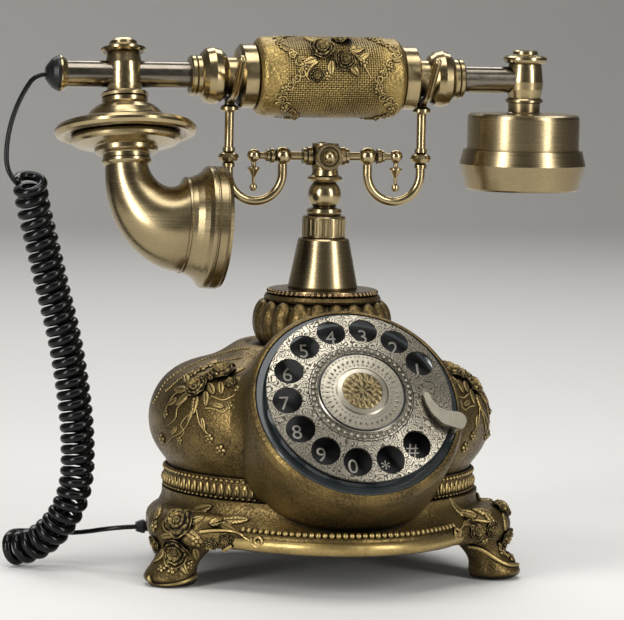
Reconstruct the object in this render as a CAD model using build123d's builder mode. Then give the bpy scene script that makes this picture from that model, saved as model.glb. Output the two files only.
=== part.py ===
"""Antique style rotary telephone: cast body on four feet, dial, column, cradle, handset and curly cord.

Frame: +Z up, front towards -Y, handset along X with the mouthpiece at -X.
The origin is on the table under the middle of the phone. All lengths are in millimetres.
"""

import os
from math import acos, cos, pi, radians, sin, sqrt, tan

from build123d import *

os.makedirs("parts", exist_ok=True)

# Main places
COLUMN_Y = 15.15
HANDSET_Z = 254.8
CRADLE_Z = 214.3
RECEIVER_X = 106.0
TRANSMITTER_X = -105.7
HORN_TILT = 14.0
DIAL_Y = COLUMN_Y - 74.9
DIAL_Z = 95.0
DIAL_LEAN = 35.8

# Small gaps
RUNNING_GAP = 0.05
MOVING_GAP = 0.35
WALL = 4.0

# Handset sizes
ARM_R = 6.8
ARM_BORE_R = 5.0
NECK_R = 9.5
NECK_X = 50.8
FERRULE_CUP_R = 16.3
FERRULE_CUP_X = 47.0
SLEEVE_HALF = 38.0
SLEEVE_END_R = 20.2
SLEEVE_R = 20.8
SLEEVE_ROUND = 4.2
SLEEVE_ROSES = ((-1.2, 60.0, 6.0), (8.6, 34.0, 5.4), (9.6, 74.0, 5.2))
FERRULE_END_X = 72.0
RECEIVER_RING_R = 32.9
HANDSET_END_X = -(RECEIVER_X + RECEIVER_RING_R)
GROMMET_LENGTH = 6.8
HORN_WALL = 1.8
HORN_RIM_R = 30.7
CORE_R = 10.0
ARM_END_X = 56.0
BALL_TOP = 11.0
BALL_BOTTOM = -9.6
EAR_BALL_TOP = 8.6
FLANGE_TOP = -24.3
FLANGE_BOTTOM = -31.2
HORN_TOP = -47.3
EAR_SEAM = -36.4

# Bent horn: place across and along the mouthpiece axis, heading from straight down, radius
HORN_LEVELS = (
    (0.0, HORN_TOP, 0.0, 10.9),
    (1.5, -56.0, 12.0, 12.5),
    (7.0, -67.0, 35.0, 16.0),
    (15.5, -74.5, 60.0, 20.0),
    (27.0, -77.3, 86.0, 23.8),
)

# Cradle and column sizes
HOOK_R = 2.35
HOOK_IN_X = 22.5
HOOK_BOTTOM_Z = 191.0
PRONG_R = 1.95
PLUNGER_R = 4.0
PLUNGER_BOTTOM_Z = 44.2
COLLAR_BOTTOM_Z = 172.1
COLLAR_TOP_Z = 183.6
DISC_BOTTOM_Z = 143.1
DISC_TOP_Z = 146.2
BULB_BOTTOM_Z = 117.0
BULB_R = 36.0
LOBES = 20
FLUTES = 26
SPRING_PITCH = 3.2

# Cast body sizes: height, half width and half depth of each level
BODY_LEVELS = (
    (55.0, 78.5, 68.5),
    (61.0, 82.5, 71.5),
    (70.0, 87.5, 75.0),
    (80.0, 89.0, 76.0),
    (90.0, 87.0, 74.5),
    (99.0, 81.5, 70.5),
    (107.0, 69.0, 60.0),
    (113.0, 52.0, 47.0),
    (BULB_BOTTOM_Z, 38.0, 37.0),
)
FRIEZE_BOTTOM_Z = 44.0
PLINTH_BOTTOM_Z = 21.0
PLINTH_EDGE_Z = 31.0
SHOULDER_LEVELS = ((29.0, 89.0, 83.0), (34.0, 85.0, 76.5), (39.0, 82.5, 72.5), (44.0, 82.0, 72.0))
PLINTH_FRONT = 94.0
PLINTH_BACK = 78.0
FRONT_FOOT = (84.5, -37.0)
BACK_FOOT = (60.6, 58.8)
FOOT_LIFT = 0.8
PAD_R = 8.0
BOTTOM_T = 2.5
BOARD_Z = 30.0
JACK_X = 24.0
JACK_WIDTH = 13.0
JACK_HEIGHT = 9.4
JACK_END_Y = COLUMN_Y + PLINTH_BACK - 7.0
BUSH_Y = COLUMN_Y + 9.6
BUSH_Z = 22.0
BUSH_R = 2.6

# Dial sizes
DRUM_R = 55.0
DRUM_BACK = -42.0
DRUM_FRONT = 1.5
BORE_R = 47.0
BEZEL_R = 51.5
PLATE_R = 46.9
HOLE_CIRCLE_R = 37.3
HOLE_R = 7.25
HOLES = 12
FIRST_HOLE_DEG = 29.0
HOLE_STEP_DEG = 25.75
STOP_POST_R = 2.0
STOP_R = 49.2
STOP_DEG = -19.5
STOP_T = (11.4, 13.6)
GEAR_MODULE = 0.8
GEAR_TEETH = 60
PINION_TEETH = 12
GEAR_T = (-19.0, -16.0)
PRESSURE_ANGLE = radians(20)
SHAFT_R = 3.0
PINION_SHAFT_R = 1.5
PLATE_TOP = 11.9
PLATE_T = 1.2
PLATE_DOME = ((22.6, 11.9), (26.0, 11.1), (31.0, 10.3), (37.3, 9.2), (42.0, 8.3), (PLATE_R, 7.355))

# Cord sizes
CORD_R = 1.25
CURL_CORD_R = 2.4
CURL_R = 6.4
CURL_TURNS = 37
ROUTE_STEPS = 40
CURL_START = -pi / 2
LEAD_ROUTE = (
    (-140.0, 0.0, HANDSET_Z),
    (-150.0, 0.0, HANDSET_Z),
    (-156.0, -0.5, 247.0),
    (-162.3, -3.0, 234.5),
    (-166.0, -6.5, 220.5),
    (-166.8, -11.0, 208.5),
)
CURL_ROUTE = (
    (-154.2, -6.2, 202.0),
    (-152.3, -0.8, 190.8),
    (-147.0, 0.0, 171.5),
    (-140.6, 0.0, 145.3),
    (-133.8, 0.0, 119.8),
    (-128.6, 0.0, 89.1),
    (-126.6, 0.0, 68.6),
    (-126.4, 1.0, 48.0),
    (-130.2, 4.0, 32.0),
    (-138.4, 11.0, 18.4),
    (-148.2, 21.0, 9.9),
    (-156.0, 27.0, 8.9),
)
TAIL_ROUTE = (
    (-133.0, 35.0, 15.6),
    (-120.4, 28.2, 16.0),
    (-102.6, 9.6, BUSH_Z),
    (-84.5, 9.6, BUSH_Z),
)


def turning_plane(origin, axis, radial):
    """Plane for a half outline of (radius, distance along the axis) points."""
    return Plane(origin, x_dir=radial, z_dir=Vector(*radial).cross(Vector(*axis)))


def spin(plane):
    """Axis that a half outline on a turning plane is revolved about."""
    return Axis(plane.origin, plane.y_dir)


def outline(plane, *points, soft=0.0):
    """Closed flat outline through points, with its corners off the axis rounded by soft."""
    with BuildSketch(plane) as shape:
        with BuildLine():
            Polyline(*points, close=True)
        make_face()
        if soft:
            fillet([corner for corner in shape.vertices() if corner.X > 0.01], soft)
    return shape.sketch


lean = radians(DIAL_LEAN)
tilt = radians(HORN_TILT)
dial_normal = (0, -cos(lean), sin(lean))
horn_up = (0, sin(tilt), cos(tilt))

COLUMN = turning_plane((0, COLUMN_Y, 0), (0, 0, 1), (1, 0, 0))
BAR = turning_plane((0, COLUMN_Y, HANDSET_Z), (1, 0, 0), (0, 0, 1))
MOUTH = turning_plane((TRANSMITTER_X, COLUMN_Y, HANDSET_Z), horn_up, (1, 0, 0))
EAR = turning_plane((RECEIVER_X, COLUMN_Y, HANDSET_Z), (0, 0, 1), (1, 0, 0))
DIAL = turning_plane((0, DIAL_Y, DIAL_Z), dial_normal, (1, 0, 0))
FACE = Plane((0, DIAL_Y, DIAL_Z), x_dir=(1, 0, 0), z_dir=dial_normal)

stop_turn = radians(STOP_DEG)
stop_spot = (STOP_R * cos(stop_turn), STOP_R * sin(stop_turn))

# Cast body: swelling shell with the dial drum and the frieze band
with BuildPart() as drum_block:
    revolve(
        outline(
            DIAL,
            (0, DRUM_BACK), (DRUM_R, DRUM_BACK), (DRUM_R, -3.6), (DRUM_R - 0.4, -1.6),
            (DRUM_R - 1.3, 0.2), (DRUM_R - 2.6, DRUM_FRONT), (0, DRUM_FRONT),
        ),
        axis=spin(DIAL),
    )

with BuildPart() as hollow:
    for height, half_x, half_y in BODY_LEVELS[:-2]:
        with BuildSketch(Plane((0, COLUMN_Y, height))):
            Ellipse(half_x - WALL, half_y - WALL)
    loft()
    with BuildSketch(Plane((0, COLUMN_Y, FRIEZE_BOTTOM_Z))):
        Ellipse(BODY_LEVELS[0][1] - WALL, BODY_LEVELS[0][2] - WALL)
    extrude(amount=BODY_LEVELS[0][0] - FRIEZE_BOTTOM_Z)

with BuildPart() as body_shell:
    for height, half_x, half_y in BODY_LEVELS:
        with BuildSketch(Plane((0, COLUMN_Y, height))):
            Ellipse(half_x, half_y)
    loft()
    with BuildSketch(Plane((0, COLUMN_Y, FRIEZE_BOTTOM_Z))):
        Ellipse(BODY_LEVELS[0][1] + 1.5, BODY_LEVELS[0][2] + 1.5)
    extrude(amount=BODY_LEVELS[0][0] - FRIEZE_BOTTOM_Z)
    add(drum_block.part)
    add(hollow.part, mode=Mode.SUBTRACT)
    with BuildSketch(FACE.offset(DRUM_BACK)):
        Circle(BORE_R)
    extrude(amount=-DRUM_BACK, mode=Mode.SUBTRACT)
    with BuildSketch(FACE.offset(-4)):
        Circle(BEZEL_R)
    extrude(amount=10, mode=Mode.SUBTRACT)
    with BuildSketch(FACE.offset(-10)):
        with Locations(stop_spot):
            Circle(STOP_POST_R + MOVING_GAP)
    extrude(amount=10, mode=Mode.SUBTRACT)
    with Locations((0, COLUMN_Y, BULB_BOTTOM_Z)):
        Cylinder(6, 20, mode=Mode.SUBTRACT)
body_shell.part.label = "body_shell"
export_step(body_shell.part, "parts/body_shell.step")

# Plinth: bow fronted rim under a sloping shoulder, open below
with BuildSketch() as plan:
    with BuildLine():
        front = ThreePointArc((0, -PLINTH_FRONT), (32, -85.6), (57, -65))
        Line(front @ 1, (82, -53))
        Line((82, -53), (91, -34))
        side = ThreePointArc((91, -34), (88, 14), (71, 58))
        Line(side @ 1, (60, 69))
        ThreePointArc((60, 69), (32, 75.5), (0, PLINTH_BACK))
        mirror(about=Plane.YZ)
    make_face()
    fillet([corner for corner in plan.vertices() if abs(corner.X) > 1], 6)

with BuildPart() as plinth_block:
    with BuildSketch(Plane((0, COLUMN_Y, PLINTH_BOTTOM_Z))):
        add(plan.sketch)
    extrude(amount=PLINTH_EDGE_Z - PLINTH_BOTTOM_Z)
    fillet(plinth_block.edges().group_by(Axis.Z)[-1], 2.5)
    fillet(plinth_block.edges().group_by(Axis.Z)[0], 3.5)
    for height, half_x, half_y in SHOULDER_LEVELS:
        with BuildSketch(Plane((0, COLUMN_Y - 3, height))):
            Ellipse(half_x, half_y)
    loft()

screw_spots = [(71, 32), (-71, 32), (57, -42), (-57, -42)]
with BuildPart() as plinth:
    add(plinth_block.part)
    with BuildSketch(Plane((0, COLUMN_Y, PLINTH_BOTTOM_Z))):
        offset(plan.sketch, amount=-6)
    extrude(amount=9, mode=Mode.SUBTRACT)
    with BuildSketch(Plane((0, COLUMN_Y, PLINTH_BOTTOM_Z))):
        Ellipse(BODY_LEVELS[0][1] - WALL, BODY_LEVELS[0][2] - WALL)
    extrude(amount=30, mode=Mode.SUBTRACT)
    add(drum_block.part, mode=Mode.SUBTRACT)
    for x, y in screw_spots:
        with BuildSketch(Plane((x, COLUMN_Y + y, PLINTH_BOTTOM_Z + BOTTOM_T))):
            Circle(4.5)
            Circle(1.5, mode=Mode.SUBTRACT)
        extrude(amount=12)
    recess = Plane((JACK_X, JACK_END_Y - 12.5, PLINTH_BOTTOM_Z + BOTTOM_T), x_dir=(1, 0, 0), z_dir=(0, 1, 0))
    with BuildSketch(recess):
        with Locations((0, -JACK_HEIGHT / 2)):
            Rectangle(JACK_WIDTH, JACK_HEIGHT)
    extrude(amount=30, mode=Mode.SUBTRACT)
    with BuildSketch(Plane((0, BUSH_Y, BUSH_Z), x_dir=(0, 1, 0), z_dir=(-1, 0, 0))):
        Circle(BUSH_R)
    extrude(amount=100, mode=Mode.SUBTRACT)
plinth.part.label = "plinth"
export_step(plinth.part, "parts/plinth.step")

# Four scrolled feet that wrap the corners of the plinth, each on a rubber pad
FOOT_LEVELS = (
    (FOOT_LIFT, -0.5, 11.2, 11.8),
    (5.0, 0.5, 13.2, 13.6),
    (9.5, -1.5, 11.6, 12.8),
    (17.0, -6.5, 12.0, 15.6),
    (26.0, -8.0, 16.0, 23.0),
    (33.0, -10.0, 16.0, 25.0),
    (37.5, -14.0, 13.0, 21.0),
)
foot_spots = {
    "front_left": (-FRONT_FOOT[0], FRONT_FOOT[1], 205),
    "front_right": (FRONT_FOOT[0], FRONT_FOOT[1], -25),
    "back_left": (-BACK_FOOT[0], BACK_FOOT[1], 136),
    "back_right": (BACK_FOOT[0], BACK_FOOT[1], 44),
}
for corner, (x, y, heading) in foot_spots.items():
    outward = Vector(cos(radians(heading)), sin(radians(heading)), 0)
    with BuildPart() as foot:
        for height, reach, half_out, half_wide in FOOT_LEVELS:
            centre = Vector(x, COLUMN_Y + y, height) + outward * reach
            with BuildSketch(Plane(centre, x_dir=outward, z_dir=(0, 0, 1))):
                Ellipse(half_out, half_wide)
        loft()
        add(plinth_block.part, mode=Mode.SUBTRACT)
        with Locations((x, COLUMN_Y + y, 0)):
            Cylinder(PAD_R, 4, mode=Mode.SUBTRACT)
    foot.part.label = f"foot_{corner}"
    export_step(foot.part, f"parts/foot_{corner}.step")

with BuildPart() as foot_pads:
    with BuildSketch():
        with Locations(*[(x, COLUMN_Y + y) for x, y, heading in foot_spots.values()]):
            Circle(PAD_R)
    extrude(amount=2)
foot_pads.part.label = "foot_pads"
export_step(foot_pads.part, "parts/foot_pads.step")

# Bottom plate with its screws, circuit board, hook switch and ringer
board_posts = [(-32, 32), (32, 32), (-32, -4), (32, -4)]
with BuildPart() as bottom_plate:
    with BuildSketch(Plane((0, COLUMN_Y, PLINTH_BOTTOM_Z))):
        offset(plan.sketch, amount=-6.2)
    extrude(amount=BOTTOM_T)
    with BuildSketch(Plane((0, COLUMN_Y, PLINTH_BOTTOM_Z))):
        with Locations(*screw_spots):
            Circle(1.6)
    extrude(amount=BOTTOM_T, mode=Mode.SUBTRACT)
    with BuildSketch(Plane((0, COLUMN_Y, PLINTH_BOTTOM_Z + BOTTOM_T))):
        with Locations(*board_posts):
            Circle(3)
    extrude(amount=BOARD_Z - PLINTH_BOTTOM_Z - BOTTOM_T)
    add(drum_block.part, mode=Mode.SUBTRACT)
bottom_plate.part.label = "bottom_plate"
export_step(bottom_plate.part, "parts/bottom_plate.step")

with BuildPart() as bottom_screws:
    with BuildSketch(Plane((0, COLUMN_Y, PLINTH_BOTTOM_Z - 1.6))):
        with Locations(*screw_spots):
            Circle(3)
    extrude(amount=1.6)
    with BuildSketch(Plane((0, COLUMN_Y, PLINTH_BOTTOM_Z))):
        with Locations(*screw_spots):
            Circle(1.5)
    extrude(amount=8)
bottom_screws.part.label = "bottom_screws"
export_step(bottom_screws.part, "parts/bottom_screws.step")

with BuildPart() as circuit_board:
    with BuildSketch(Plane((0, COLUMN_Y + 14, BOARD_Z))):
        RectangleRounded(78, 50, 3)
    extrude(amount=1.6)
circuit_board.part.label = "circuit_board"
export_step(circuit_board.part, "parts/circuit_board.step")

with BuildPart() as hook_switch:
    with BuildSketch(Plane((0, COLUMN_Y, BOARD_Z + 1.6))):
        Rectangle(16, 11)
    extrude(amount=9)
    with BuildSketch(Plane((0, COLUMN_Y, BOARD_Z + 10.6))):
        Circle(2)
    extrude(amount=PLUNGER_BOTTOM_Z - MOVING_GAP - BOARD_Z - 10.6)
hook_switch.part.label = "hook_switch"
export_step(hook_switch.part, "parts/hook_switch.step")

RINGER = turning_plane((0, COLUMN_Y + 51, PLINTH_BOTTOM_Z + BOTTOM_T), (0, 0, 1), (1, 0, 0))
with BuildPart() as ringer:
    revolve(
        outline(
            RINGER,
            (0, 0), (11, 0), (11, 9), (3, 9), (3, 7.5), (0, 7.5),
        ),
        axis=spin(RINGER),
    )
ringer.part.label = "ringer"
export_step(ringer.part, "parts/ringer.step")

# Line socket in the back of the plinth and the bush where the handset cord comes out
with BuildPart() as line_jack:
    jack_z = PLINTH_BOTTOM_Z + BOTTOM_T + JACK_HEIGHT / 2
    socket = Plane((JACK_X, JACK_END_Y, jack_z), x_dir=(1, 0, 0), z_dir=(0, -1, 0))
    with BuildSketch(socket):
        Rectangle(JACK_WIDTH, JACK_HEIGHT)
    extrude(amount=12.5)
    with BuildSketch(socket):
        Rectangle(9.8, 7)
    extrude(amount=10.5, mode=Mode.SUBTRACT)
line_jack.part.label = "line_jack"
export_step(line_jack.part, "parts/line_jack.step")

BUSH = turning_plane((-83.6, BUSH_Y, BUSH_Z), (-1, 0, 0), (0, 0, 1))
with BuildPart() as cord_bush:
    revolve(
        outline(
            BUSH,
            (CORD_R, 0), (BUSH_R, 0), (BUSH_R, 6), (3.5, 6), (3.5, 7.4), (2.5, 10.4), (CORD_R, 10.4),
        ),
        axis=spin(BUSH),
    )
    add(plinth.part, mode=Mode.SUBTRACT)
cord_bush.part.label = "cord_bush"
export_step(cord_bush.part, "parts/cord_bush.step")

# Gadrooned neck bulb under a beaded rim
with BuildPart() as lobe:
    with BuildSketch(Plane((BULB_R - 6.2, 0, 0), x_dir=(1, 0, 0), z_dir=(0, -1, 0))):
        Ellipse(6.2, 11.6)
        with Locations((-5, 0)):
            Rectangle(10, 30, mode=Mode.SUBTRACT)
    revolve(axis=Axis((BULB_R - 6.2, 0, 0), (0, 0, 1)))

with BuildPart() as neck_bulb:
    revolve(
        outline(
            COLUMN,
            (6, BULB_BOTTOM_Z), (31, BULB_BOTTOM_Z), (33, 121), (32.6, 130), (30, 138), (28.2, 139.4),
            (29.6, 140.2), (30.2, 141.4), (29.4, DISC_BOTTOM_Z), (6, DISC_BOTTOM_Z),
        ),
        axis=spin(COLUMN),
    )
    for place in PolarLocations(0, LOBES).locations:
        add(Pos(0, COLUMN_Y, 128.8) * place * lobe.part)
    add(drum_block.part, mode=Mode.SUBTRACT)
neck_bulb.part.label = "neck_bulb"
export_step(neck_bulb.part, "parts/neck_bulb.step")

# Column: disc, brushed cone and fluted collar that guides the cradle's plunger
with BuildPart() as column_disc:
    revolve(
        outline(
            COLUMN,
            (6, DISC_BOTTOM_Z), (27.2, DISC_BOTTOM_Z), (27.9, 144.4), (27.4, 146), (6, DISC_TOP_Z),
        ),
        axis=spin(COLUMN),
    )
column_disc.part.label = "column_disc"
export_step(column_disc.part, "parts/column_disc.step")

with BuildPart() as column_cone:
    revolve(
        outline(
            COLUMN,
            (15.5, DISC_TOP_Z), (17.7, DISC_TOP_Z), (17.9, 147.4), (13.2, COLLAR_BOTTOM_Z - 0.8),
            (12.6, COLLAR_BOTTOM_Z), (8, COLLAR_BOTTOM_Z), (8, 170), (11, 170),
        ),
        axis=spin(COLUMN),
    )
column_cone.part.label = "column_cone"
export_step(column_cone.part, "parts/column_cone.step")

with BuildPart() as fluted_collar:
    bore = PLUNGER_R + RUNNING_GAP
    revolve(
        outline(
            COLUMN,
            (bore, COLLAR_BOTTOM_Z), (10.9, COLLAR_BOTTOM_Z), (11.2, 173), (11.2, 182.6),
            (10.6, COLLAR_TOP_Z), (bore, COLLAR_TOP_Z),
        ),
        axis=spin(COLUMN),
    )
    with BuildSketch(Plane((0, COLUMN_Y, 173.6))):
        with PolarLocations(11.5, FLUTES):
            Circle(0.85)
    extrude(amount=8.6, mode=Mode.SUBTRACT)
fluted_collar.part.label = "fluted_collar"
export_step(fluted_collar.part, "parts/fluted_collar.step")

# Cradle: stem with its plunger, hub, crossbar, hooks, forks and pendants
HUB_AXIS = turning_plane((0, COLUMN_Y, CRADLE_Z), (0, -1, 0), (1, 0, 0))
with BuildPart() as cradle_hub:
    revolve(
        outline(
            HUB_AXIS,
            (0, -9.4), (6.2, -9.4), (7, -8.4), (7, -5.8), (6.2, -5), (6.2, 5), (7, 5.8), (7, 9),
            (6.6, 9.8), (5.2, 9.8), (4.4, 9), (0, 9),
        ),
        axis=spin(HUB_AXIS),
    )
    for end in (-9.4, 9.4):
        with Locations((0, COLUMN_Y + end, CRADLE_Z)):
            Sphere(3.5)
    with Locations((0, COLUMN_Y, CRADLE_Z)):
        Cylinder(6.9, 13.2)
        Cylinder(2.2, 30, rotation=(0, 90, 0), mode=Mode.SUBTRACT)
cradle_hub.part.label = "cradle_hub"
export_step(cradle_hub.part, "parts/cradle_hub.step")

STEM_BOTTOM_Z = COLLAR_TOP_Z + 0.5
with BuildPart() as cradle_stem:
    revolve(
        outline(
            COLUMN,
            (0, PLUNGER_BOTTOM_Z), (PLUNGER_R, PLUNGER_BOTTOM_Z), (PLUNGER_R, 164), (6.8, 164.5),
            (6.8, 167), (PLUNGER_R, 167.5), (PLUNGER_R, STEM_BOTTOM_Z), (8.6, STEM_BOTTOM_Z),
            (9.2, 185.6), (8.6, 187.2), (5.6, 188), (5.6, 201), (8.6, 201.6), (9.3, 202.6),
            (8.6, 203.8), (7.1, 204.6), (6.4, CRADLE_Z - 6.6), (0, CRADLE_Z - 6.6),
        ),
        axis=spin(COLUMN),
    )
    with Locations((0, COLUMN_Y, 194.5)):
        Sphere(8.5)
    add(cradle_hub.part, mode=Mode.SUBTRACT)
cradle_stem.part.label = "cradle_stem"
export_step(cradle_stem.part, "parts/cradle_stem.step")

with BuildPart() as crossbar:
    with Locations((0, COLUMN_Y, CRADLE_Z)):
        Cylinder(2.2, 64, rotation=(0, 90, 0))
    for side in (-1, 1):
        for x, collar_r, wide in ((8.6, 4.9, 2.4), (11.2, 4.1, 1.6), (28.2, 3.9, 1.6), (30.4, 3.2, 1.2)):
            with Locations((side * x, COLUMN_Y, CRADLE_Z)):
                Cylinder(collar_r, wide, rotation=(0, 90, 0))
        with Locations((side * HOOK_IN_X, COLUMN_Y, CRADLE_Z)):
            Sphere(4.8)
        with Locations((side * 37.6, COLUMN_Y, CRADLE_Z)):
            Sphere(3.5)
        with Locations((side * 33.5, COLUMN_Y, CRADLE_Z)):
            Cylinder(1.8, 6, rotation=(0, 90, 0))
crossbar.part.label = "crossbar"
export_step(crossbar.part, "parts/crossbar.step")

with BuildPart() as pendants:
    for side in (-1, 1):
        drop = turning_plane((side * 37.6, COLUMN_Y, CRADLE_Z), (0, 0, 1), (1, 0, 0))
        revolve(
            outline(
                drop,
                (0, -3.4), (1.2, -3.3), (1.2, -5.4), (3.2, -6), (3.2, -6.8), (1, -10.8), (0.8, -14.2),
                (1.7, -15), (2.1, -16.4), (1.4, -18), (0, -18.4),
            ),
            axis=spin(drop),
        )
    add(crossbar.part, mode=Mode.SUBTRACT)
pendants.part.label = "pendants"
export_step(pendants.part, "parts/pendants.step")

FORK_Z = 236.5
hook_radius = (NECK_X - HOOK_IN_X) / 2
for side, name in ((-1, "left"), (1, "right")):
    with BuildPart() as hook:
        with BuildLine() as route:
            drop = Line(
                (side * HOOK_IN_X, COLUMN_Y, CRADLE_Z - 3.5),
                (side * HOOK_IN_X, COLUMN_Y, HOOK_BOTTOM_Z + hook_radius),
            )
            bend = ThreePointArc(
                drop @ 1,
                (side * (HOOK_IN_X + hook_radius), COLUMN_Y, HOOK_BOTTOM_Z),
                (side * NECK_X, COLUMN_Y, HOOK_BOTTOM_Z + hook_radius),
            )
            Line(bend @ 1, (side * NECK_X, COLUMN_Y, FORK_Z))
        with BuildSketch(Plane(route.line @ 0, z_dir=route.line % 0)):
            Circle(HOOK_R)
        sweep()
        post = turning_plane((side * NECK_X, COLUMN_Y, 213.4), (0, 0, 1), (1, 0, 0))
        revolve(
            outline(
                post,
                (0, -5), (3.2, -5), (3.2, -3.2), (2.6, -2.8), (4.6, -1.8), (5.5, 0), (4.6, 1.8),
                (2.6, 2.8), (3.2, 3.2), (3.2, 5), (0, 5),
            ),
            axis=spin(post),
        )
        add(crossbar.part, mode=Mode.SUBTRACT)
    hook.part.label = f"hook_{name}"
    export_step(hook.part, f"parts/hook_{name}.step")

    with BuildPart() as fork:
        base = turning_plane((side * NECK_X, COLUMN_Y, FORK_Z), (0, 0, 1), (1, 0, 0))
        revolve(
            outline(base, (0, 0), (3.4, 0), (4.6, 1), (4.6, 2.6), (2.6, 3.8), (2.6, 6.2), (0, 6.2)),
            axis=spin(base),
        )
        for way in (-1, 1):
            with BuildLine() as prong:
                FilletPolyline(
                    (side * NECK_X, COLUMN_Y, FORK_Z + 5),
                    (side * NECK_X, COLUMN_Y + way * 13, FORK_Z + 9.5),
                    (side * NECK_X, COLUMN_Y + way * 29, FORK_Z + 27.5),
                    radius=12,
                )
            with BuildSketch(Plane(prong.line @ 0, z_dir=prong.line % 0)):
                Circle(PRONG_R)
            sweep(path=prong.line)
            with Locations(prong.line @ 1):
                Sphere(PRONG_R)
    fork.part.label = f"fork_{name}"
    export_step(fork.part, f"parts/fork_{name}.step")

# Handset: handle between two turned ferrules
with BuildPart() as handle_core:
    with BuildSketch(Plane((-FERRULE_CUP_X, COLUMN_Y, HANDSET_Z), z_dir=(1, 0, 0))):
        Circle(CORE_R)
        Circle(ARM_BORE_R, mode=Mode.SUBTRACT)
    extrude(amount=2 * FERRULE_CUP_X)
handle_core.part.label = "handle_core"
export_step(handle_core.part, "parts/handle_core.step")

with BuildPart() as handle_sleeve:
    with BuildSketch(BAR) as sleeve_wall:
        with BuildLine():
            swell = ThreePointArc(
                (SLEEVE_END_R, -SLEEVE_HALF), (SLEEVE_R, 0), (SLEEVE_END_R, SLEEVE_HALF)
            )
            Polyline(swell @ 1, (CORE_R, SLEEVE_HALF), (CORE_R, -SLEEVE_HALF), swell @ 0)
        make_face()
        fillet(sleeve_wall.vertices().group_by(Axis.X)[-1], SLEEVE_ROUND)
    revolve(axis=spin(BAR))
    for along, turn_deg, size in SLEEVE_ROSES:
        turned = radians(turn_deg)
        out = Vector(0, -sin(turned), cos(turned))
        with Locations(Vector(along, COLUMN_Y, HANDSET_Z) + out * (SLEEVE_R - 0.58 * size)):
            Sphere(size)
    with Locations((0, COLUMN_Y, HANDSET_Z)):
        Cylinder(CORE_R, 4 * SLEEVE_HALF, rotation=(0, 90, 0), mode=Mode.SUBTRACT)
handle_sleeve.part.label = "handle_sleeve"
export_step(handle_sleeve.part, "parts/handle_sleeve.step")

for side, name in ((-1, "left"), (1, "right")):
    half = turning_plane((0, COLUMN_Y, HANDSET_Z), (side, 0, 0), (0, 0, 1))
    with BuildPart() as ferrule:
        revolve(
            outline(
                half,
                (CORE_R, SLEEVE_HALF), (15.6, SLEEVE_HALF), (FERRULE_CUP_R, 39), (FERRULE_CUP_R, 45.6),
                (14.6, 46.8), (10.8, FERRULE_CUP_X), (NECK_R, 48), (NECK_R, 52.8), (11.6, 54),
                (13.7, 56.6), (14.7, 60.2), (13.8, 63.8), (11.4, 66), (10.2, 66.6), (10.2, 68.6),
                (9.5, 69.1), (10.2, 69.6), (10.2, 71.2), (9.4, FERRULE_END_X), (ARM_R, FERRULE_END_X),
                (ARM_R, ARM_END_X), (ARM_BORE_R, ARM_END_X), (ARM_BORE_R, FERRULE_CUP_X),
                (CORE_R, FERRULE_CUP_X),
            ),
            axis=spin(half),
        )
    ferrule.part.label = f"{name}_ferrule"
    export_step(ferrule.part, f"parts/{name}_ferrule.step")

with BuildPart() as transmitter_arm:
    with BuildSketch(Plane((HANDSET_END_X + 3.4, COLUMN_Y, HANDSET_Z), z_dir=(1, 0, 0))):
        Circle(ARM_R)
        Circle(ARM_BORE_R, mode=Mode.SUBTRACT)
    extrude(amount=-HANDSET_END_X - 3.4 - ARM_END_X)
transmitter_arm.part.label = "transmitter_arm"
export_step(transmitter_arm.part, "parts/transmitter_arm.step")

with BuildPart() as receiver_arm:
    with BuildSketch(Plane((ARM_END_X, COLUMN_Y, HANDSET_Z), z_dir=(1, 0, 0))):
        Circle(ARM_R)
        Circle(ARM_BORE_R, mode=Mode.SUBTRACT)
    extrude(amount=RECEIVER_X - ARM_END_X)
receiver_arm.part.label = "receiver_arm"
export_step(receiver_arm.part, "parts/receiver_arm.step")

# End of the transmitter arm: brass flange and the rubber grommet the cord comes out of
TAIL_END = turning_plane((HANDSET_END_X, COLUMN_Y, HANDSET_Z), (-1, 0, 0), (0, 0, 1))
with BuildPart() as end_flange:
    revolve(
        outline(TAIL_END, (3.2, -3.4), (7.6, -3.4), (8.8, -1.6), (9.4, -0.8), (9.4, 0), (3.2, 0)),
        axis=spin(TAIL_END),
    )
end_flange.part.label = "end_flange"
export_step(end_flange.part, "parts/end_flange.step")

with BuildPart() as cord_grommet:
    revolve(
        outline(
            TAIL_END,
            (CORD_R, -3.2), (3.2, -3.2), (3.2, 0), (8.9, 0), (8.7, 1.4), (7.4, 3.6), (5, 5.6),
            (3.2, GROMMET_LENGTH), (CORD_R, GROMMET_LENGTH),
        ),
        axis=spin(TAIL_END),
    )
cord_grommet.part.label = "cord_grommet"
export_step(cord_grommet.part, "parts/cord_grommet.step")

# Mouthpiece: ball on the arm, cap nut above, dome and flanges below, then the bent horn
with BuildPart() as transmitter_ball:
    revolve(
        outline(
            MOUTH,
            (0, BALL_BOTTOM), (8.4, BALL_BOTTOM), (9.2, -6), (9.6, 0), (9.4, 5), (8.6, 9),
            (8, BALL_TOP), (0, BALL_TOP),
        ),
        axis=spin(MOUTH),
    )
    with Locations((TRANSMITTER_X, COLUMN_Y, HANDSET_Z)):
        Cylinder(ARM_R, 40, rotation=(0, 90, 0), mode=Mode.SUBTRACT)
transmitter_ball.part.label = "transmitter_ball"
export_step(transmitter_ball.part, "parts/transmitter_ball.step")

with BuildPart() as transmitter_cap_nut:
    revolve(
        outline(
            MOUTH,
            (0, BALL_TOP), (10.4, BALL_TOP), (11.5, 12), (11.4, 13.2), (8, 14.4), (7.2, 15), (7, 16.6),
            (5.6, 17.8), (0, 18.2),
        ),
        axis=spin(MOUTH),
    )
transmitter_cap_nut.part.label = "transmitter_cap_nut"
export_step(transmitter_cap_nut.part, "parts/transmitter_cap_nut.step")

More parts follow.
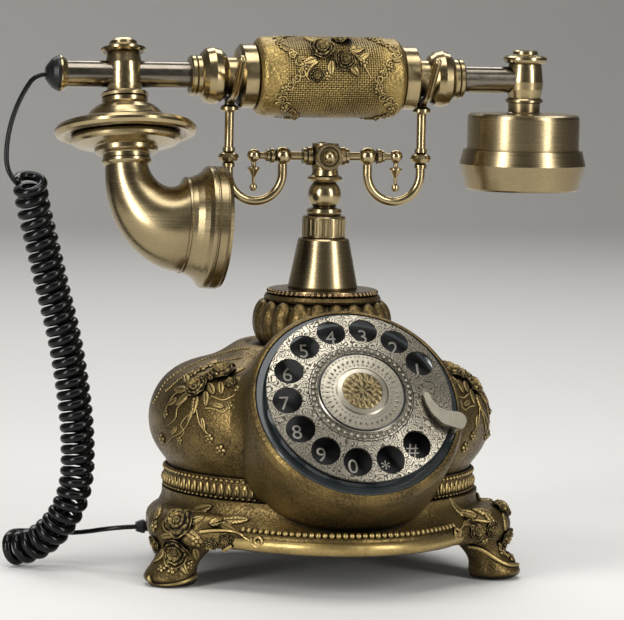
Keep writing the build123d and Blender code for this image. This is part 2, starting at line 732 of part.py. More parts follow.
with BuildPart() as transmitter_dome:
    revolve(
        outline(
            MOUTH,
            (0, BALL_BOTTOM), (11.4, BALL_BOTTOM), (12.2, -10.6), (11.8, -12), (10.8, -12.4),
            (11.6, -12.9), (11.6, -14.9), (12.6, -15.6), (15.6, -17.2), (18, -19.4), (19.8, -22),
            (20.6, FLANGE_TOP), (0, FLANGE_TOP),
        ),
        axis=spin(MOUTH),
    )
transmitter_dome.part.label = "transmitter_dome"
export_step(transmitter_dome.part, "parts/transmitter_dome.step")

with BuildPart() as drip_flange:
    revolve(
        outline(
            MOUTH,
            (0, FLANGE_TOP), (20.6, FLANGE_TOP), (27, -25), (32, -25.6), (34.6, -26.6), (35.8, -28.2),
            (36, -29.6), (35.2, -31.2), (33.6, -32), (31.4, -31.9), (29.6, FLANGE_BOTTOM),
            (0, FLANGE_BOTTOM),
        ),
        axis=spin(MOUTH),
    )
drip_flange.part.label = "drip_flange"
export_step(drip_flange.part, "parts/drip_flange.step")

with BuildPart() as lower_flange:
    revolve(
        outline(
            MOUTH,
            (0, FLANGE_BOTTOM), (26.4, FLANGE_BOTTOM), (27.5, -32.2), (27.8, -33.6), (27.4, -35),
            (26, -36), (23, -36.4), (17, -37.4), (16, -38), (15.8, -40), (15, -40.6), (12.2, -41),
            (11.9, -41.6), (11.9, -43.6), (12.5, -44.3), (12.5, -45.6), (11.9, -46.4), (10.9, HORN_TOP),
            (0, HORN_TOP),
        ),
        axis=spin(MOUTH),
    )
lower_flange.part.label = "lower_flange"
export_step(lower_flange.part, "parts/lower_flange.step")

mouth_origin = Vector(TRANSMITTER_X, COLUMN_Y, HANDSET_Z)
horn_side = Vector(0, cos(tilt), -sin(tilt))
horn_rings = []
for across, along, heading, ring_r in HORN_LEVELS:
    turned = radians(heading)
    ahead = Vector(1, 0, 0) * sin(turned) - Vector(*horn_up) * cos(turned)
    spot = mouth_origin + Vector(across, 0, 0) + Vector(*horn_up) * along
    horn_rings.append((Plane(spot, x_dir=horn_side, z_dir=ahead), ring_r))

with BuildPart() as horn_bore:
    for ring_plane, ring_r in horn_rings:
        with BuildSketch(ring_plane):
            Circle(ring_r - HORN_WALL)
    loft()

with BuildPart() as horn_elbow:
    for ring_plane, ring_r in horn_rings:
        with BuildSketch(ring_plane):
            Circle(ring_r)
    loft()
    add(horn_bore.part, mode=Mode.SUBTRACT)
horn_elbow.part.label = "horn_elbow"
export_step(horn_elbow.part, "parts/horn_elbow.step")

horn_exit, exit_r = horn_rings[-1]
HORN = turning_plane(horn_exit.origin, tuple(horn_exit.z_dir), tuple(horn_side))
CAPSULE_SEAT = 12.6
with BuildPart() as horn_rim:
    revolve(
        outline(
            HORN,
            (exit_r - HORN_WALL, 0), (exit_r, 0), (24.5, 0.3), (24.5, 1.3), (24.1, 1.7), (24.9, 4),
            (26.4, 7), (28.4, 9.4), (HORN_RIM_R, 11.2), (31, 12), (31, 13.2), (30.4, 13.6),
            (30.4, 14.2), (31, 14.6), (31, 18.2), (30.4, 18.6), (30.4, 19), (30.8, 19.4), (30.2, 21),
            (28.6, 21), (28.6, CAPSULE_SEAT), (25, CAPSULE_SEAT), (22.8, 4),
        ),
        axis=spin(HORN),
    )
horn_rim.part.label = "horn_rim"
export_step(horn_rim.part, "parts/horn_rim.step")

with BuildPart() as microphone_capsule:
    with BuildSketch(horn_exit.offset(CAPSULE_SEAT)):
        Circle(28.6)
        Circle(1.4, mode=Mode.SUBTRACT)
        for ring_r, holes in ((7, 6), (13, 12), (19, 18)):
            with PolarLocations(ring_r, holes):
                Circle(1.4, mode=Mode.SUBTRACT)
    extrude(amount=2)
microphone_capsule.part.label = "microphone_capsule"
export_step(microphone_capsule.part, "parts/microphone_capsule.step")

# Earpiece: ball, cap nut, cup, bevelled ring and the receiver capsule in it
with BuildPart() as receiver_ball:
    revolve(
        outline(
            EAR,
            (0, BALL_BOTTOM), (8.4, BALL_BOTTOM), (9.3, -5), (9.6, -1), (9, 5),
            (8.4, EAR_BALL_TOP), (0, EAR_BALL_TOP),
        ),
        axis=spin(EAR),
    )
    with Locations((RECEIVER_X - 10, COLUMN_Y, HANDSET_Z)):
        Cylinder(ARM_R, 20, rotation=(0, 90, 0), mode=Mode.SUBTRACT)
receiver_ball.part.label = "receiver_ball"
export_step(receiver_ball.part, "parts/receiver_ball.step")

with BuildPart() as receiver_cap_nut:
    revolve(
        outline(
            EAR,
            (0, EAR_BALL_TOP), (9.8, EAR_BALL_TOP), (11, 9.3), (11.5, 10.5), (11.2, 11.7), (10, 12.5),
            (7.4, 12.9), (6.6, 13.3), (6.4, 14.8), (5.6, 15.4), (0, 15.4),
        ),
        axis=spin(EAR),
    )
receiver_cap_nut.part.label = "receiver_cap_nut"
export_step(receiver_cap_nut.part, "parts/receiver_cap_nut.step")

with BuildPart() as receiver_cup:
    revolve(
        outline(
            EAR,
            (0, BALL_BOTTOM), (9.2, BALL_BOTTOM), (9.7, -10.4), (9.7, -11.4), (8.4, -12), (8.2, -16.6),
            (9, -17.2), (27.4, -17.6), (28.8, -18.4), (29.2, -19.8), (29.2, EAR_SEAM), (27, EAR_SEAM),
            (27, -21), (0, -21),
        ),
        axis=spin(EAR),
    )
receiver_cup.part.label = "receiver_cup"
export_step(receiver_cup.part, "parts/receiver_cup.step")

with BuildPart() as receiver_ring:
    revolve(
        outline(
            EAR,
            (27, EAR_SEAM), (31, EAR_SEAM), (RECEIVER_RING_R, -44), (29.6, -56.4), (28.6, -57.3),
            (26, -57.3), (26, -52), (27, -52),
        ),
        axis=spin(EAR),
    )
receiver_ring.part.label = "receiver_ring"
export_step(receiver_ring.part, "parts/receiver_ring.step")

with BuildPart() as receiver_capsule:
    with BuildSketch(Plane((RECEIVER_X, COLUMN_Y, HANDSET_Z - 52))):
        Circle(27)
        Circle(1.4, mode=Mode.SUBTRACT)
        for ring_r, holes in ((6, 6), (12, 12)):
            with PolarLocations(ring_r, holes):
                Circle(1.4, mode=Mode.SUBTRACT)
    extrude(amount=4)
receiver_capsule.part.label = "receiver_capsule"
export_step(receiver_capsule.part, "parts/receiver_capsule.step")

# Dial: bezel, number plate and the cup behind them
NUMBER_SEAT = -1.3
with BuildPart() as bezel_ring:
    revolve(
        outline(
            DIAL,
            (46.95, -4), (BEZEL_R, -4), (BEZEL_R, 0.7), (50.7, 1.5), (47.7, 1.5), (46.4, 0.5),
            (44.6, 0.5), (44.6, -0.5), (46.95, -0.5),
        ),
        axis=spin(DIAL),
    )
    with BuildSketch(FACE.offset(-5)):
        with Locations(stop_spot):
            Circle(STOP_POST_R + RUNNING_GAP)
    extrude(amount=10, mode=Mode.SUBTRACT)
bezel_ring.part.label = "bezel_ring"
export_step(bezel_ring.part, "parts/bezel_ring.step")

with BuildPart() as number_plate:
    revolve(
        outline(DIAL, (6, NUMBER_SEAT), (46.4, NUMBER_SEAT), (46.4, -0.5), (44, -0.5), (44, 1), (6, 1)),
        axis=spin(DIAL),
    )
number_plate.part.label = "number_plate"
export_step(number_plate.part, "parts/number_plate.step")

gear_distance = GEAR_MODULE * (GEAR_TEETH + PINION_TEETH) / 2
with BuildPart() as dial_housing:
    revolve(
        outline(
            DIAL,
            (SHAFT_R + RUNNING_GAP, -27), (46.9, -27), (46.9, NUMBER_SEAT), (44, NUMBER_SEAT), (44, -24),
            (SHAFT_R + RUNNING_GAP, -24),
        ),
        axis=spin(DIAL),
    )
    with BuildSketch(FACE.offset(-28)):
        with Locations((0, gear_distance)):
            Circle(PINION_SHAFT_R + RUNNING_GAP)
    extrude(amount=6, mode=Mode.SUBTRACT)
dial_housing.part.label = "dial_housing"
export_step(dial_housing.part, "parts/dial_housing.step")

# Finger plate with its twelve holes, the medallion on it and the shaft with the drive gear
with BuildPart() as finger_plate:
    under = [(radius, height - PLATE_T) for radius, height in reversed(PLATE_DOME)]
    revolve(
        outline(DIAL, (0, PLATE_TOP), *PLATE_DOME, *under, (0, PLATE_TOP - PLATE_T)),
        axis=spin(DIAL),
    )
    with BuildSketch(FACE):
        for hole in range(HOLES):
            place = radians(FIRST_HOLE_DEG + HOLE_STEP_DEG * hole)
            with Locations((HOLE_CIRCLE_R * cos(place), HOLE_CIRCLE_R * sin(place))):
                Circle(HOLE_R)
    extrude(amount=14, mode=Mode.SUBTRACT)
finger_plate.part.label = "finger_plate"
export_step(finger_plate.part, "parts/finger_plate.step")

with BuildPart() as dial_medallion:
    revolve(
        outline(
            DIAL,
            (0, PLATE_TOP), (22.5, PLATE_TOP), (22.5, PLATE_TOP + 0.5), (21.6, PLATE_TOP + 1.1),
            (13.4, PLATE_TOP + 1.5), (12.6, PLATE_TOP + 1.9), (8, PLATE_TOP + 2.4), (0, PLATE_TOP + 2.6),
        ),
        axis=spin(DIAL),
    )
dial_medallion.part.label = "dial_medallion"
export_step(dial_medallion.part, "parts/dial_medallion.step")


def gear_outline(plane, centre, teeth, turn):
    """Flat outline of an involute gear whose first tooth points along turn."""
    pitch_r = GEAR_MODULE * teeth / 2
    base_r = pitch_r * cos(PRESSURE_ANGLE)
    root_r = pitch_r - 0.95 * GEAR_MODULE
    tip_r = pitch_r + 0.7 * GEAR_MODULE
    half_tooth = 0.225 * pi * GEAR_MODULE / pitch_r + tan(PRESSURE_ANGLE) - PRESSURE_ANGLE
    flank = []
    for step in range(6):
        radius = root_r + (tip_r - root_r) * step / 5
        rolled = acos(min(1.0, base_r / radius))
        flank.append((radius, half_tooth - tan(rolled) + rolled))
    points = []
    for tooth in range(teeth):
        middle = turn + 2 * pi * tooth / teeth
        points += [(radius, middle - away) for radius, away in flank]
        points += [(radius, middle + away) for radius, away in reversed(flank)]
    spots = [(centre[0] + radius * cos(angle), centre[1] + radius * sin(angle)) for radius, angle in points]
    return outline(plane, *spots)


with BuildPart() as dial_shaft:
    revolve(
        outline(
            DIAL,
            (0, -29), (SHAFT_R, -29), (SHAFT_R, 2.6), (5.4, 2.6), (5.4, PLATE_TOP - PLATE_T),
            (0, PLATE_TOP - PLATE_T),
        ),
        axis=spin(DIAL),
    )
    extrude(gear_outline(FACE.offset(GEAR_T[0]), (0, 0), GEAR_TEETH, 0), amount=GEAR_T[1] - GEAR_T[0])
dial_shaft.part.label = "dial_shaft"
export_step(dial_shaft.part, "parts/dial_shaft.step")

# Governor: pinion in mesh with the drive gear and a small fly drum behind the cup
with BuildPart() as governor_pinion:
    extrude(
        gear_outline(FACE.offset(GEAR_T[0] - 0.5), (0, gear_distance), PINION_TEETH, pi / PINION_TEETH),
        amount=GEAR_T[1] - GEAR_T[0] + 1,
    )
    with BuildSketch(FACE.offset(-34)):
        with Locations((0, gear_distance)):
            Circle(PINION_SHAFT_R)
    extrude(amount=20)
    with BuildSketch(FACE.offset(-34)):
        with Locations((0, gear_distance)):
            Circle(9)
    extrude(amount=7 - MOVING_GAP)
governor_pinion.part.label = "governor_pinion"
export_step(governor_pinion.part, "parts/governor_pinion.step")

# Finger stop: bent comma plate on a post that slides in the bezel
STOP_ROUNDS = (
    (32.6, -2.2, 1.6), (33.6, -6.6, 1.9), (36.6, -11.6, 2.8), (41.0, -15.0, 4.0), (*stop_spot, 4.6),
)
with BuildPart() as finger_stop:
    for first, second in zip(STOP_ROUNDS[:-1], STOP_ROUNDS[1:]):
        with BuildSketch(FACE.offset(STOP_T[0])):
            for x, y, round_r in (first, second):
                with Locations((x, y)):
                    Circle(round_r)
            make_hull()
        extrude(amount=STOP_T[1] - STOP_T[0])
    with BuildSketch(FACE.offset(-8)):
        with Locations(stop_spot):
            Circle(STOP_POST_R)
    extrude(amount=STOP_T[0] + 8)
finger_stop.part.label = "finger_stop"
export_step(finger_stop.part, "parts/finger_stop.step")

# Spring that lifts the cradle when the handset is taken off
with BuildPart() as plunger_spring:
    with BuildLine() as coil:
        Helix(pitch=SPRING_PITCH, height=16.6, radius=5.4, center=(0, COLUMN_Y, DISC_TOP_Z + 0.4))
    with BuildSketch(Plane(coil.line @ 0, z_dir=coil.line % 0)):
        Circle(0.4)
    sweep(path=coil.line, is_frenet=True)
plunger_spring.part.label = "plunger_spring"
export_step(plunger_spring.part, "parts/plunger_spring.step")


# Curly cord from the grommet of the handset to the bush in the plinth
def pulled_route(points):
    """Fine chain of (distance, spot, heading) along the smooth curve that control points pull."""
    joints = [points[0]]
    joints += [(before + after) / 2 for before, after in zip(points[1:-2], points[2:-1])]
    joints.append(points[-1])
    chain = []
    walked = 0.0
    for start, pull, end in zip(joints[:-1], points[1:-1], joints[1:]):
        for step in range(ROUTE_STEPS + 1):
            part_way = step / ROUTE_STEPS
            first = start + (pull - start) * part_way
            second = pull + (end - pull) * part_way
            spot = first + (second - first) * part_way
            if chain:
                walked += (spot - chain[-1][1]).length
            chain.append((walked, spot, (second - first).normalized()))
    return chain


def wound_lengths(chain):
    """Growing length at each item of a chain that the curls share out, shorter where the route bends."""
    lengths = [0.0]
    for before, after in zip(chain[:-1], chain[1:]):
        step = after[0] - before[0]
        bend = radians(before[2].get_angle(after[2]))
        lengths.append(lengths[-1] + max(0.3 * step, step - CURL_R * bend))
    return lengths


def curl_spot(chain, lengths, turn):
    """Middle of the wire where the curls have gone round by turn."""
    goal = lengths[-1] * turn / (2 * pi * CURL_TURNS)
    index = next((i for i in range(1, len(lengths)) if lengths[i] >= goal), len(lengths) - 1)
    part_way = (goal - lengths[index - 1]) / (lengths[index] - lengths[index - 1])
    before, after = chain[index - 1], chain[index]
    centre = before[1] + (after[1] - before[1]) * part_way
    heading = (before[2] + (after[2] - before[2]) * part_way).normalized()
    side = (Vector(0, 1, 0) - heading * heading.Y).normalized()
    angle = CURL_START + turn
    return centre + (side * cos(angle) + heading.cross(side) * sin(angle)) * CURL_R


def half_turn(start, end, leaving, arriving):
    """Meeting spot, and heading there, of two arcs from one spot and heading to the next."""
    run = end - start
    square = 2 * (leaving.dot(arriving) - 1)
    slope = -2 * run.dot(leaving + arriving)
    reach = (-slope - sqrt(slope * slope - 4 * square * run.dot(run))) / (2 * square)
    near = start + leaving * reach
    far = end - arriving * reach
    return (near + far) / 2, (far - near).normalized()


def bend_radii(points):
    """Radius of each bend of a run of straight stretches, as wide as the shorter neighbour allows."""
    radii = []
    for before, corner, after in zip(points[:-2], points[1:-1], points[2:]):
        come = corner - before
        leave = after - corner
        turned = acos(max(-1.0, min(1.0, come.normalized().dot(leave.normalized()))))
        radii.append(0.45 * min(come.length, leave.length) / tan(turned / 2))
    return radii


lead_points = [Vector(x, COLUMN_Y + y, z) for x, y, z in LEAD_ROUTE]
curl_points = [Vector(x, COLUMN_Y + y, z) for x, y, z in CURL_ROUTE]
tail_points = [Vector(x, COLUMN_Y + y, z) for x, y, z in TAIL_ROUTE]
route = pulled_route(curl_points)
wound = wound_lengths(route)
knots = []
for half in range(2 * CURL_TURNS + 1):
    before, spot, after = [curl_spot(route, wound, half * pi + nudge) for nudge in (-0.01, 0, 0.01)]
    knots.append((spot, (after - before).normalized()))
lead_points += [knots[0][0] - knots[0][1] * 9, knots[0][0]]
tail_points = [knots[-1][0], knots[-1][0] + knots[-1][1] * 8] + tail_points

with BuildPart() as cord_lead:
    with BuildLine() as lead_line:
        FilletPolyline(*lead_points, radius=bend_radii(lead_points))
    with BuildSketch(Plane(lead_points[0], z_dir=lead_points[1] - lead_points[0])):
        Circle(CORD_R)
    sweep(path=lead_line.line)
cord_lead.part.label = "cord_lead"
export_step(cord_lead.part, "parts/cord_lead.step")

with BuildPart() as cord_curls:
    with BuildLine() as curl_line:
        for (start, leaving), (end, arriving) in zip(knots[:-1], knots[1:]):
            meeting, along = half_turn(start, end, leaving, arriving)
            TangentArc(start, meeting, tangent=leaving)
            TangentArc(meeting, end, tangent=along)
    with BuildSketch(Plane(knots[0][0], z_dir=knots[0][1])):
        Circle(CURL_CORD_R)
    sweep(path=curl_line.line)
cord_curls.part.label = "cord_curls"
export_step(cord_curls.part, "parts/cord_curls.step")

with BuildPart() as cord_tail:
    with BuildLine() as tail_line:
        FilletPolyline(*tail_points, radius=bend_radii(tail_points))
    with BuildSketch(Plane(tail_points[0], z_dir=tail_points[1] - tail_points[0])):
        Circle(CORD_R)
    sweep(path=tail_line.line)
cord_tail.part.label = "cord_tail"
export_step(cord_tail.part, "parts/cord_tail.step")

print("bend radii of the lead", [round(radius, 1) for radius in bend_radii(lead_points)])
print("bend radii of the tail", [round(radius, 1) for radius in bend_radii(tail_points)])
samples = [curl_spot(route, wound, step * pi / 12) for step in range(24 * CURL_TURNS + 1)]
gaps = [(samples[i] - other).length for i in range(len(samples)) for other in samples[i + 16:i + 34]]
print("least gap between turns", round(min(gaps) - 2 * CURL_CORD_R, 2))
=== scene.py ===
"""Looks of an antique style rotary telephone, built around its packed construction model."""

from __future__ import annotations

import logging
import math
from dataclasses import dataclass
from enum import Enum
from typing import Any, Iterable, Sequence

import bpy
from mathutils import Matrix, Vector
from mathutils.bvhtree import BVHTree

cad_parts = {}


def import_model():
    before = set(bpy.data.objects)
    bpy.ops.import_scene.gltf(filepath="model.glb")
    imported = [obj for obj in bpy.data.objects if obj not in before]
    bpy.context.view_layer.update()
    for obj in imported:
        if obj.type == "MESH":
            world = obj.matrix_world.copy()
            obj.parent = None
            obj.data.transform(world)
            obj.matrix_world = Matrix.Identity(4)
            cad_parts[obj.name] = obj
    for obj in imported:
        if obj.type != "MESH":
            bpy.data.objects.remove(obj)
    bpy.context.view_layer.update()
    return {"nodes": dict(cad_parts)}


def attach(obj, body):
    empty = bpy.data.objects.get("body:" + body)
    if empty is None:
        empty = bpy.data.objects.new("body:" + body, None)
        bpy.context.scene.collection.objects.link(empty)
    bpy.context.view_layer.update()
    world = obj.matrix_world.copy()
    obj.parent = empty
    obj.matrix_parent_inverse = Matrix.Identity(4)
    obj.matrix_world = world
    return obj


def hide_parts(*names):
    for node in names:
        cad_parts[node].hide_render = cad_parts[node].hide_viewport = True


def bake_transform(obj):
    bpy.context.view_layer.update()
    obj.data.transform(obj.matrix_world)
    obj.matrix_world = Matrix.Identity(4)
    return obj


LOG = logging.getLogger("telephone")
MM = 0.001
COLUMN_Y = 0.01515
HANDSET_Z = 0.2548
DIAL_CENTRE = Vector((0.0, COLUMN_Y - 0.0749, 0.095))
DIAL_LEAN = math.radians(35.8)
DIAL_UP = Vector((0, math.sin(DIAL_LEAN), math.cos(DIAL_LEAN)))
DIAL_OUT = Vector((0, -math.cos(DIAL_LEAN), math.sin(DIAL_LEAN)))
DRAPE_REACH = 0.012
PETALS = 5
Colour = tuple[float, float, float, float]
Nodes = dict[str, bpy.types.Object]
Place = tuple[Vector, Vector]
Point = tuple[float, float, float]
Spot = tuple[float, float]


class Brush(Enum):
    """Stretch of the fine lines of a metal's polish along each axis."""

    NONE = (260.0, 260.0, 260.0)
    LEVEL = (24.0, 24.0, 3200.0)


# Node trees


class NodeSheet:
    """Shorthand for filling one node tree."""

    def __init__(self, tree: bpy.types.NodeTree) -> None:
        """Keeps the tree that the nodes go into."""
        self.tree = tree

    def feed(self, node: bpy.types.Node, inputs: dict[Any, Any]) -> None:
        """Fills inputs of a node.

        Args:
            node: Node of this tree.
            inputs: Socket name or index to a value or to the socket that feeds it.
        """
        for key, value in inputs.items():
            if isinstance(value, bpy.types.NodeSocket):
                self.tree.links.new(value, node.inputs[key])
            else:
                node.inputs[key].default_value = value

    def add(self, kind: str, inputs: dict[Any, Any] | None = None, **settings: Any) -> bpy.types.Node:
        """Adds a node.

        Args:
            kind: Node type name.
            inputs: Socket name or index to a value or to the socket that feeds it.
            settings: Node properties.

        Returns:
            The new node.
        """
        node = self.tree.nodes.new(kind)
        for name, value in settings.items():
            setattr(node, name, value)
        self.feed(node, inputs or {})
        return node

    def group(self, tree: bpy.types.NodeTree, inputs: dict[str, Any]) -> bpy.types.NodeOutputs:
        """Adds a shared shader group and gives its outputs."""
        return self.add("ShaderNodeGroup", inputs, node_tree=tree).outputs

    def calc(self, operation: str, first: Any, second: Any = 0.0) -> bpy.types.NodeSocket:
        """Adds a math node.

        Args:
            operation: Math operation.
            first: First value or socket.
            second: Second value or socket.

        Returns:
            Its output socket.
        """
        return self.add("ShaderNodeMath", {0: first, 1: second}, operation=operation).outputs[0]

    def plus(self, first: Any, second: Any) -> bpy.types.NodeSocket:
        """Adds two values."""
        return self.calc("ADD", first, second)

    def times(self, first: Any, second: Any) -> bpy.types.NodeSocket:
        """Multiplies two values."""
        return self.calc("MULTIPLY", first, second)

    def rest(self, share: Any) -> bpy.types.NodeSocket:
        """Gives what a share leaves of one."""
        return self.calc("SUBTRACT", 1.0, share)

    def mix(self, share: Any, first: Any, second: Any) -> bpy.types.NodeSocket:
        """Adds a colour mix.

        Args:
            share: Share of the second colour.
            first: First colour.
            second: Second colour.

        Returns:
            The mixed colour socket.
        """
        return self.add("ShaderNodeMix", {0: share, 6: first, 7: second}, data_type="RGBA").outputs[2]

    def ramp(self, value: bpy.types.NodeSocket, low: Any, high: Any) -> bpy.types.NodeSocket:
        """Adds a smooth step from 0 at low to 1 at high.

        Args:
            value: Value to step on.
            low: Value that gives 0.
            high: Value that gives 1.

        Returns:
            The stepped value.
        """
        node = self.add("ShaderNodeMapRange", {0: value, 1: low, 2: high}, interpolation_type="SMOOTHSTEP")
        return node.outputs[0]


class SurfaceSheet(NodeSheet):
    """Shorthand for making one material around its principled shader."""

    def __init__(self, name: str) -> None:
        """Makes the material.

        Args:
            name: Material name.
        """
        self.material = bpy.data.materials.new(name)
        self.material.use_nodes = True
        super().__init__(self.material.node_tree)
        self.surface = self.tree.nodes["Principled BSDF"]

    def finish(self, inputs: dict[str, Any]) -> None:
        """Fills inputs of the principled shader."""
        self.feed(self.surface, inputs)

    def bump(self, height: bpy.types.NodeSocket, strength: float, depth: float) -> None:
        """Feeds a height to the surface's normal.

        Args:
            height: Height socket.
            strength: Share of the effect.
            depth: Height in metres.
        """
        node = self.add("ShaderNodeBump", {"Strength": strength, "Distance": depth, "Height": height})
        self.finish({"Normal": node.outputs[0]})


def shader_group(
    name: str, inputs: Sequence[tuple[str, str, Any]], outputs: Sequence[tuple[str, str]]
) -> tuple[bpy.types.NodeTree, NodeSheet, bpy.types.NodeOutputs, bpy.types.Node]:
    """Starts a shared shader group.

    Args:
        name: Group name.
        inputs: Name, socket type and default of each input.
        outputs: Name and socket type of each output.

    Returns:
        The group, its sheet, the sockets of its inputs and its output node.
    """
    tree = bpy.data.node_groups.new(name, "ShaderNodeTree")
    for label, kind, value in inputs:
        tree.interface.new_socket(label, in_out="INPUT", socket_type=kind).default_value = value
    for label, kind in outputs:
        tree.interface.new_socket(label, in_out="OUTPUT", socket_type=kind)
    sheet = NodeSheet(tree)
    return tree, sheet, sheet.add("NodeGroupInput").outputs, sheet.add("NodeGroupOutput")


class Effects:
    """Shader groups that several finishes share."""

    def __init__(self) -> None:
        """Builds each group once."""
        self.patina_and_shade = self._patina_and_shade()
        self.brushing = self._brushing()
        self.grain = self._grain()

    def _patina_and_shade(self) -> bpy.types.NodeTree:
        """Builds the rubbed antique effect: dark in hollows, as painted shade fed in through Openness, and
        bright on high spots.

        Returns:
            The group.
        """
        tree, sheet, start, end = shader_group(
            "rubbed_patina_and_shade",
            (
                ("Bright", "NodeSocketColor", (0.6, 0.5, 0.3, 1)),
                ("Dark", "NodeSocketColor", (0.05, 0.04, 0.02, 1)),
                ("Openness", "NodeSocketFloat", 1.0),
                ("Scale", "NodeSocketFloat", 120.0),
                ("Wear", "NodeSocketFloat", 0.5),
                ("Low", "NodeSocketFloat", 0.25),
                ("High", "NodeSocketFloat", 0.95),
            ),
            (("Colour", "NodeSocketColor"), ("Mask", "NodeSocketFloat")),
        )
        where = sheet.add("ShaderNodeTexCoord").outputs["Object"]
        scale = start["Scale"]
        broad = sheet.add("ShaderNodeTexNoise", {"Vector": where, "Scale": scale, "Detail": 5.0})
        fine_scale = sheet.times(scale, 15.0)
        fine = sheet.add("ShaderNodeTexNoise", {"Vector": where, "Scale": fine_scale, "Detail": 4.0})
        blotch = sheet.ramp(sheet.plus(broad.outputs[0], fine.outputs[0]), 0.72, 1.22)
        # painted shade: low Openness, which callers take from ambient occlusion, pulls the colour to Dark;
        # the blotches below are random wear
        open_part = sheet.ramp(start["Openness"], start["Low"], start["High"])
        rubbed = sheet.times(sheet.rest(blotch), start["Wear"])
        mask = sheet.times(open_part, sheet.rest(rubbed))
        colour = sheet.mix(mask, start["Dark"], start["Bright"])
        sheet.feed(end, {"Colour": colour, "Mask": mask})
        return tree

    def _brushing(self) -> bpy.types.NodeTree:
        """Builds the fine parallel lines of brushed metal.

        Returns:
            The group.
        """
        tree, sheet, start, end = shader_group(
            "brushed_lines",
            (("Stretch", "NodeSocketVector", (30.0, 30.0, 2500.0)), ("Depth", "NodeSocketFloat", 0.5)),
            (("Value", "NodeSocketFloat"), ("Height", "NodeSocketFloat")),
        )
        where = sheet.add("ShaderNodeTexCoord").outputs["Object"]
        spread = sheet.add("ShaderNodeVectorMath", {0: where, 1: start["Stretch"]}, operation="MULTIPLY")
        lines = sheet.add("ShaderNodeTexNoise", {"Vector": spread.outputs[0], "Scale": 1.0, "Detail": 3.0})
        value = sheet.ramp(lines.outputs[0], 0.3, 0.7)
        sheet.feed(end, {"Value": value, "Height": sheet.times(value, start["Depth"])})
        return tree

    def _grain(self) -> bpy.types.NodeTree:
        """Builds a soft cast grain with small pits.

        Returns:
            The group.
        """
        tree, sheet, start, end = shader_group(
            "cast_grain",
            (("Scale", "NodeSocketFloat", 500.0), ("Pits", "NodeSocketFloat", 0.5)),
            (("Value", "NodeSocketFloat"), ("Height", "NodeSocketFloat")),
        )
        where = sheet.add("ShaderNodeTexCoord").outputs["Object"]
        scale = start["Scale"]
        grain = sheet.add("ShaderNodeTexNoise", {"Vector": where, "Scale": scale, "Detail": 6.0})
        cells = sheet.add("ShaderNodeTexVoronoi", {"Vector": where, "Scale": scale})
        pits = sheet.times(sheet.ramp(cells.outputs["Distance"], 0.0, 0.35), start["Pits"])
        sheet.feed(end, {"Value": grain.outputs[0], "Height": sheet.plus(grain.outputs[0], pits)})
        return tree


# Finishes


@dataclass(frozen=True)
class Finish:
    """One surface finish, made into a material once."""

    name: str

    def make(self, effects: Effects) -> bpy.types.Material:
        """Builds the material.

        Args:
            effects: Shared shader groups.

        Returns:
            The material.
        """
        sheet = SurfaceSheet(self.name)
        self.fill(sheet, effects)
        return sheet.material

    def fill(self, sheet: SurfaceSheet, effects: Effects) -> None:
        """Fills the material's nodes."""
        raise NotImplementedError


@dataclass(frozen=True)
class RubbedAndShaded(Finish):
    """Metal or gilding that is bright where it is rubbed and dark in its hollows, where the dark is painted
    shade laid over the finish's own antique tone.
    """

    bright: Colour
    # dark: painted shade colour for the hollows, over the antique tone of the finish
    dark: Colour
    roughness: float

    def patina_and_shade(
        self, sheet: SurfaceSheet, effects: Effects, openness: Any, dulling: float, **values: float
    ) -> bpy.types.NodeSocket:
        """Colours the surface from painted shade in the hollows to bright in the open.

        Args:
            sheet: Material's sheet.
            effects: Shared shader groups.
            openness: How far each spot lies open, from 0 to 1, where low values get painted shade.
            dulling: Roughness that a fully dark spot gains.
            values: Other inputs of the shared antique and shade group.

        Returns:
            The roughness that the dark spots gain.
        """
        inputs = {"Bright": self.bright, "Dark": self.dark, "Openness": openness, **values}
        patina_and_shade = sheet.group(effects.patina_and_shade, inputs)
        sheet.finish({"Base Color": patina_and_shade["Colour"]})
        return sheet.times(sheet.rest(patina_and_shade["Mask"]), dulling)


@dataclass(frozen=True)
class Metal(RubbedAndShaded):
    """Antiqued metal, smooth or brushed, with painted shade in its creases."""

    bright: Colour = (0.52, 0.43, 0.27, 1)
    dark: Colour = (0.10, 0.075, 0.04, 1)
    roughness: float = 0.24
    brush: Brush = Brush.NONE
    wear: float = 0.25
    reach: float = 0.006
    unevenness: float = 0.05

    def fill(self, sheet: SurfaceSheet, effects: Effects) -> None:
        """Fills the metal's nodes.

        Args:
            sheet: Material's sheet.
            effects: Shared shader groups.
        """
        # painted shade: ambient occlusion within reach darkens creases to the dark colour
        around = sheet.add("ShaderNodeAmbientOcclusion", {"Distance": self.reach}, samples=6)
        dulled = self.patina_and_shade(sheet, effects, around.outputs["AO"], 0.2, Scale=90.0, Wear=self.wear)
        lines = sheet.group(effects.brushing, {"Stretch": self.brush.value, "Depth": 1.0})
        uneven = sheet.times(lines["Value"], self.unevenness)
        rough = sheet.plus(self.roughness - self.unevenness / 2, uneven)
        sheet.finish({"Metallic": 1.0, "Roughness": sheet.plus(rough, dulled)})
        sheet.bump(lines["Height"], 0.06, 0.00002)


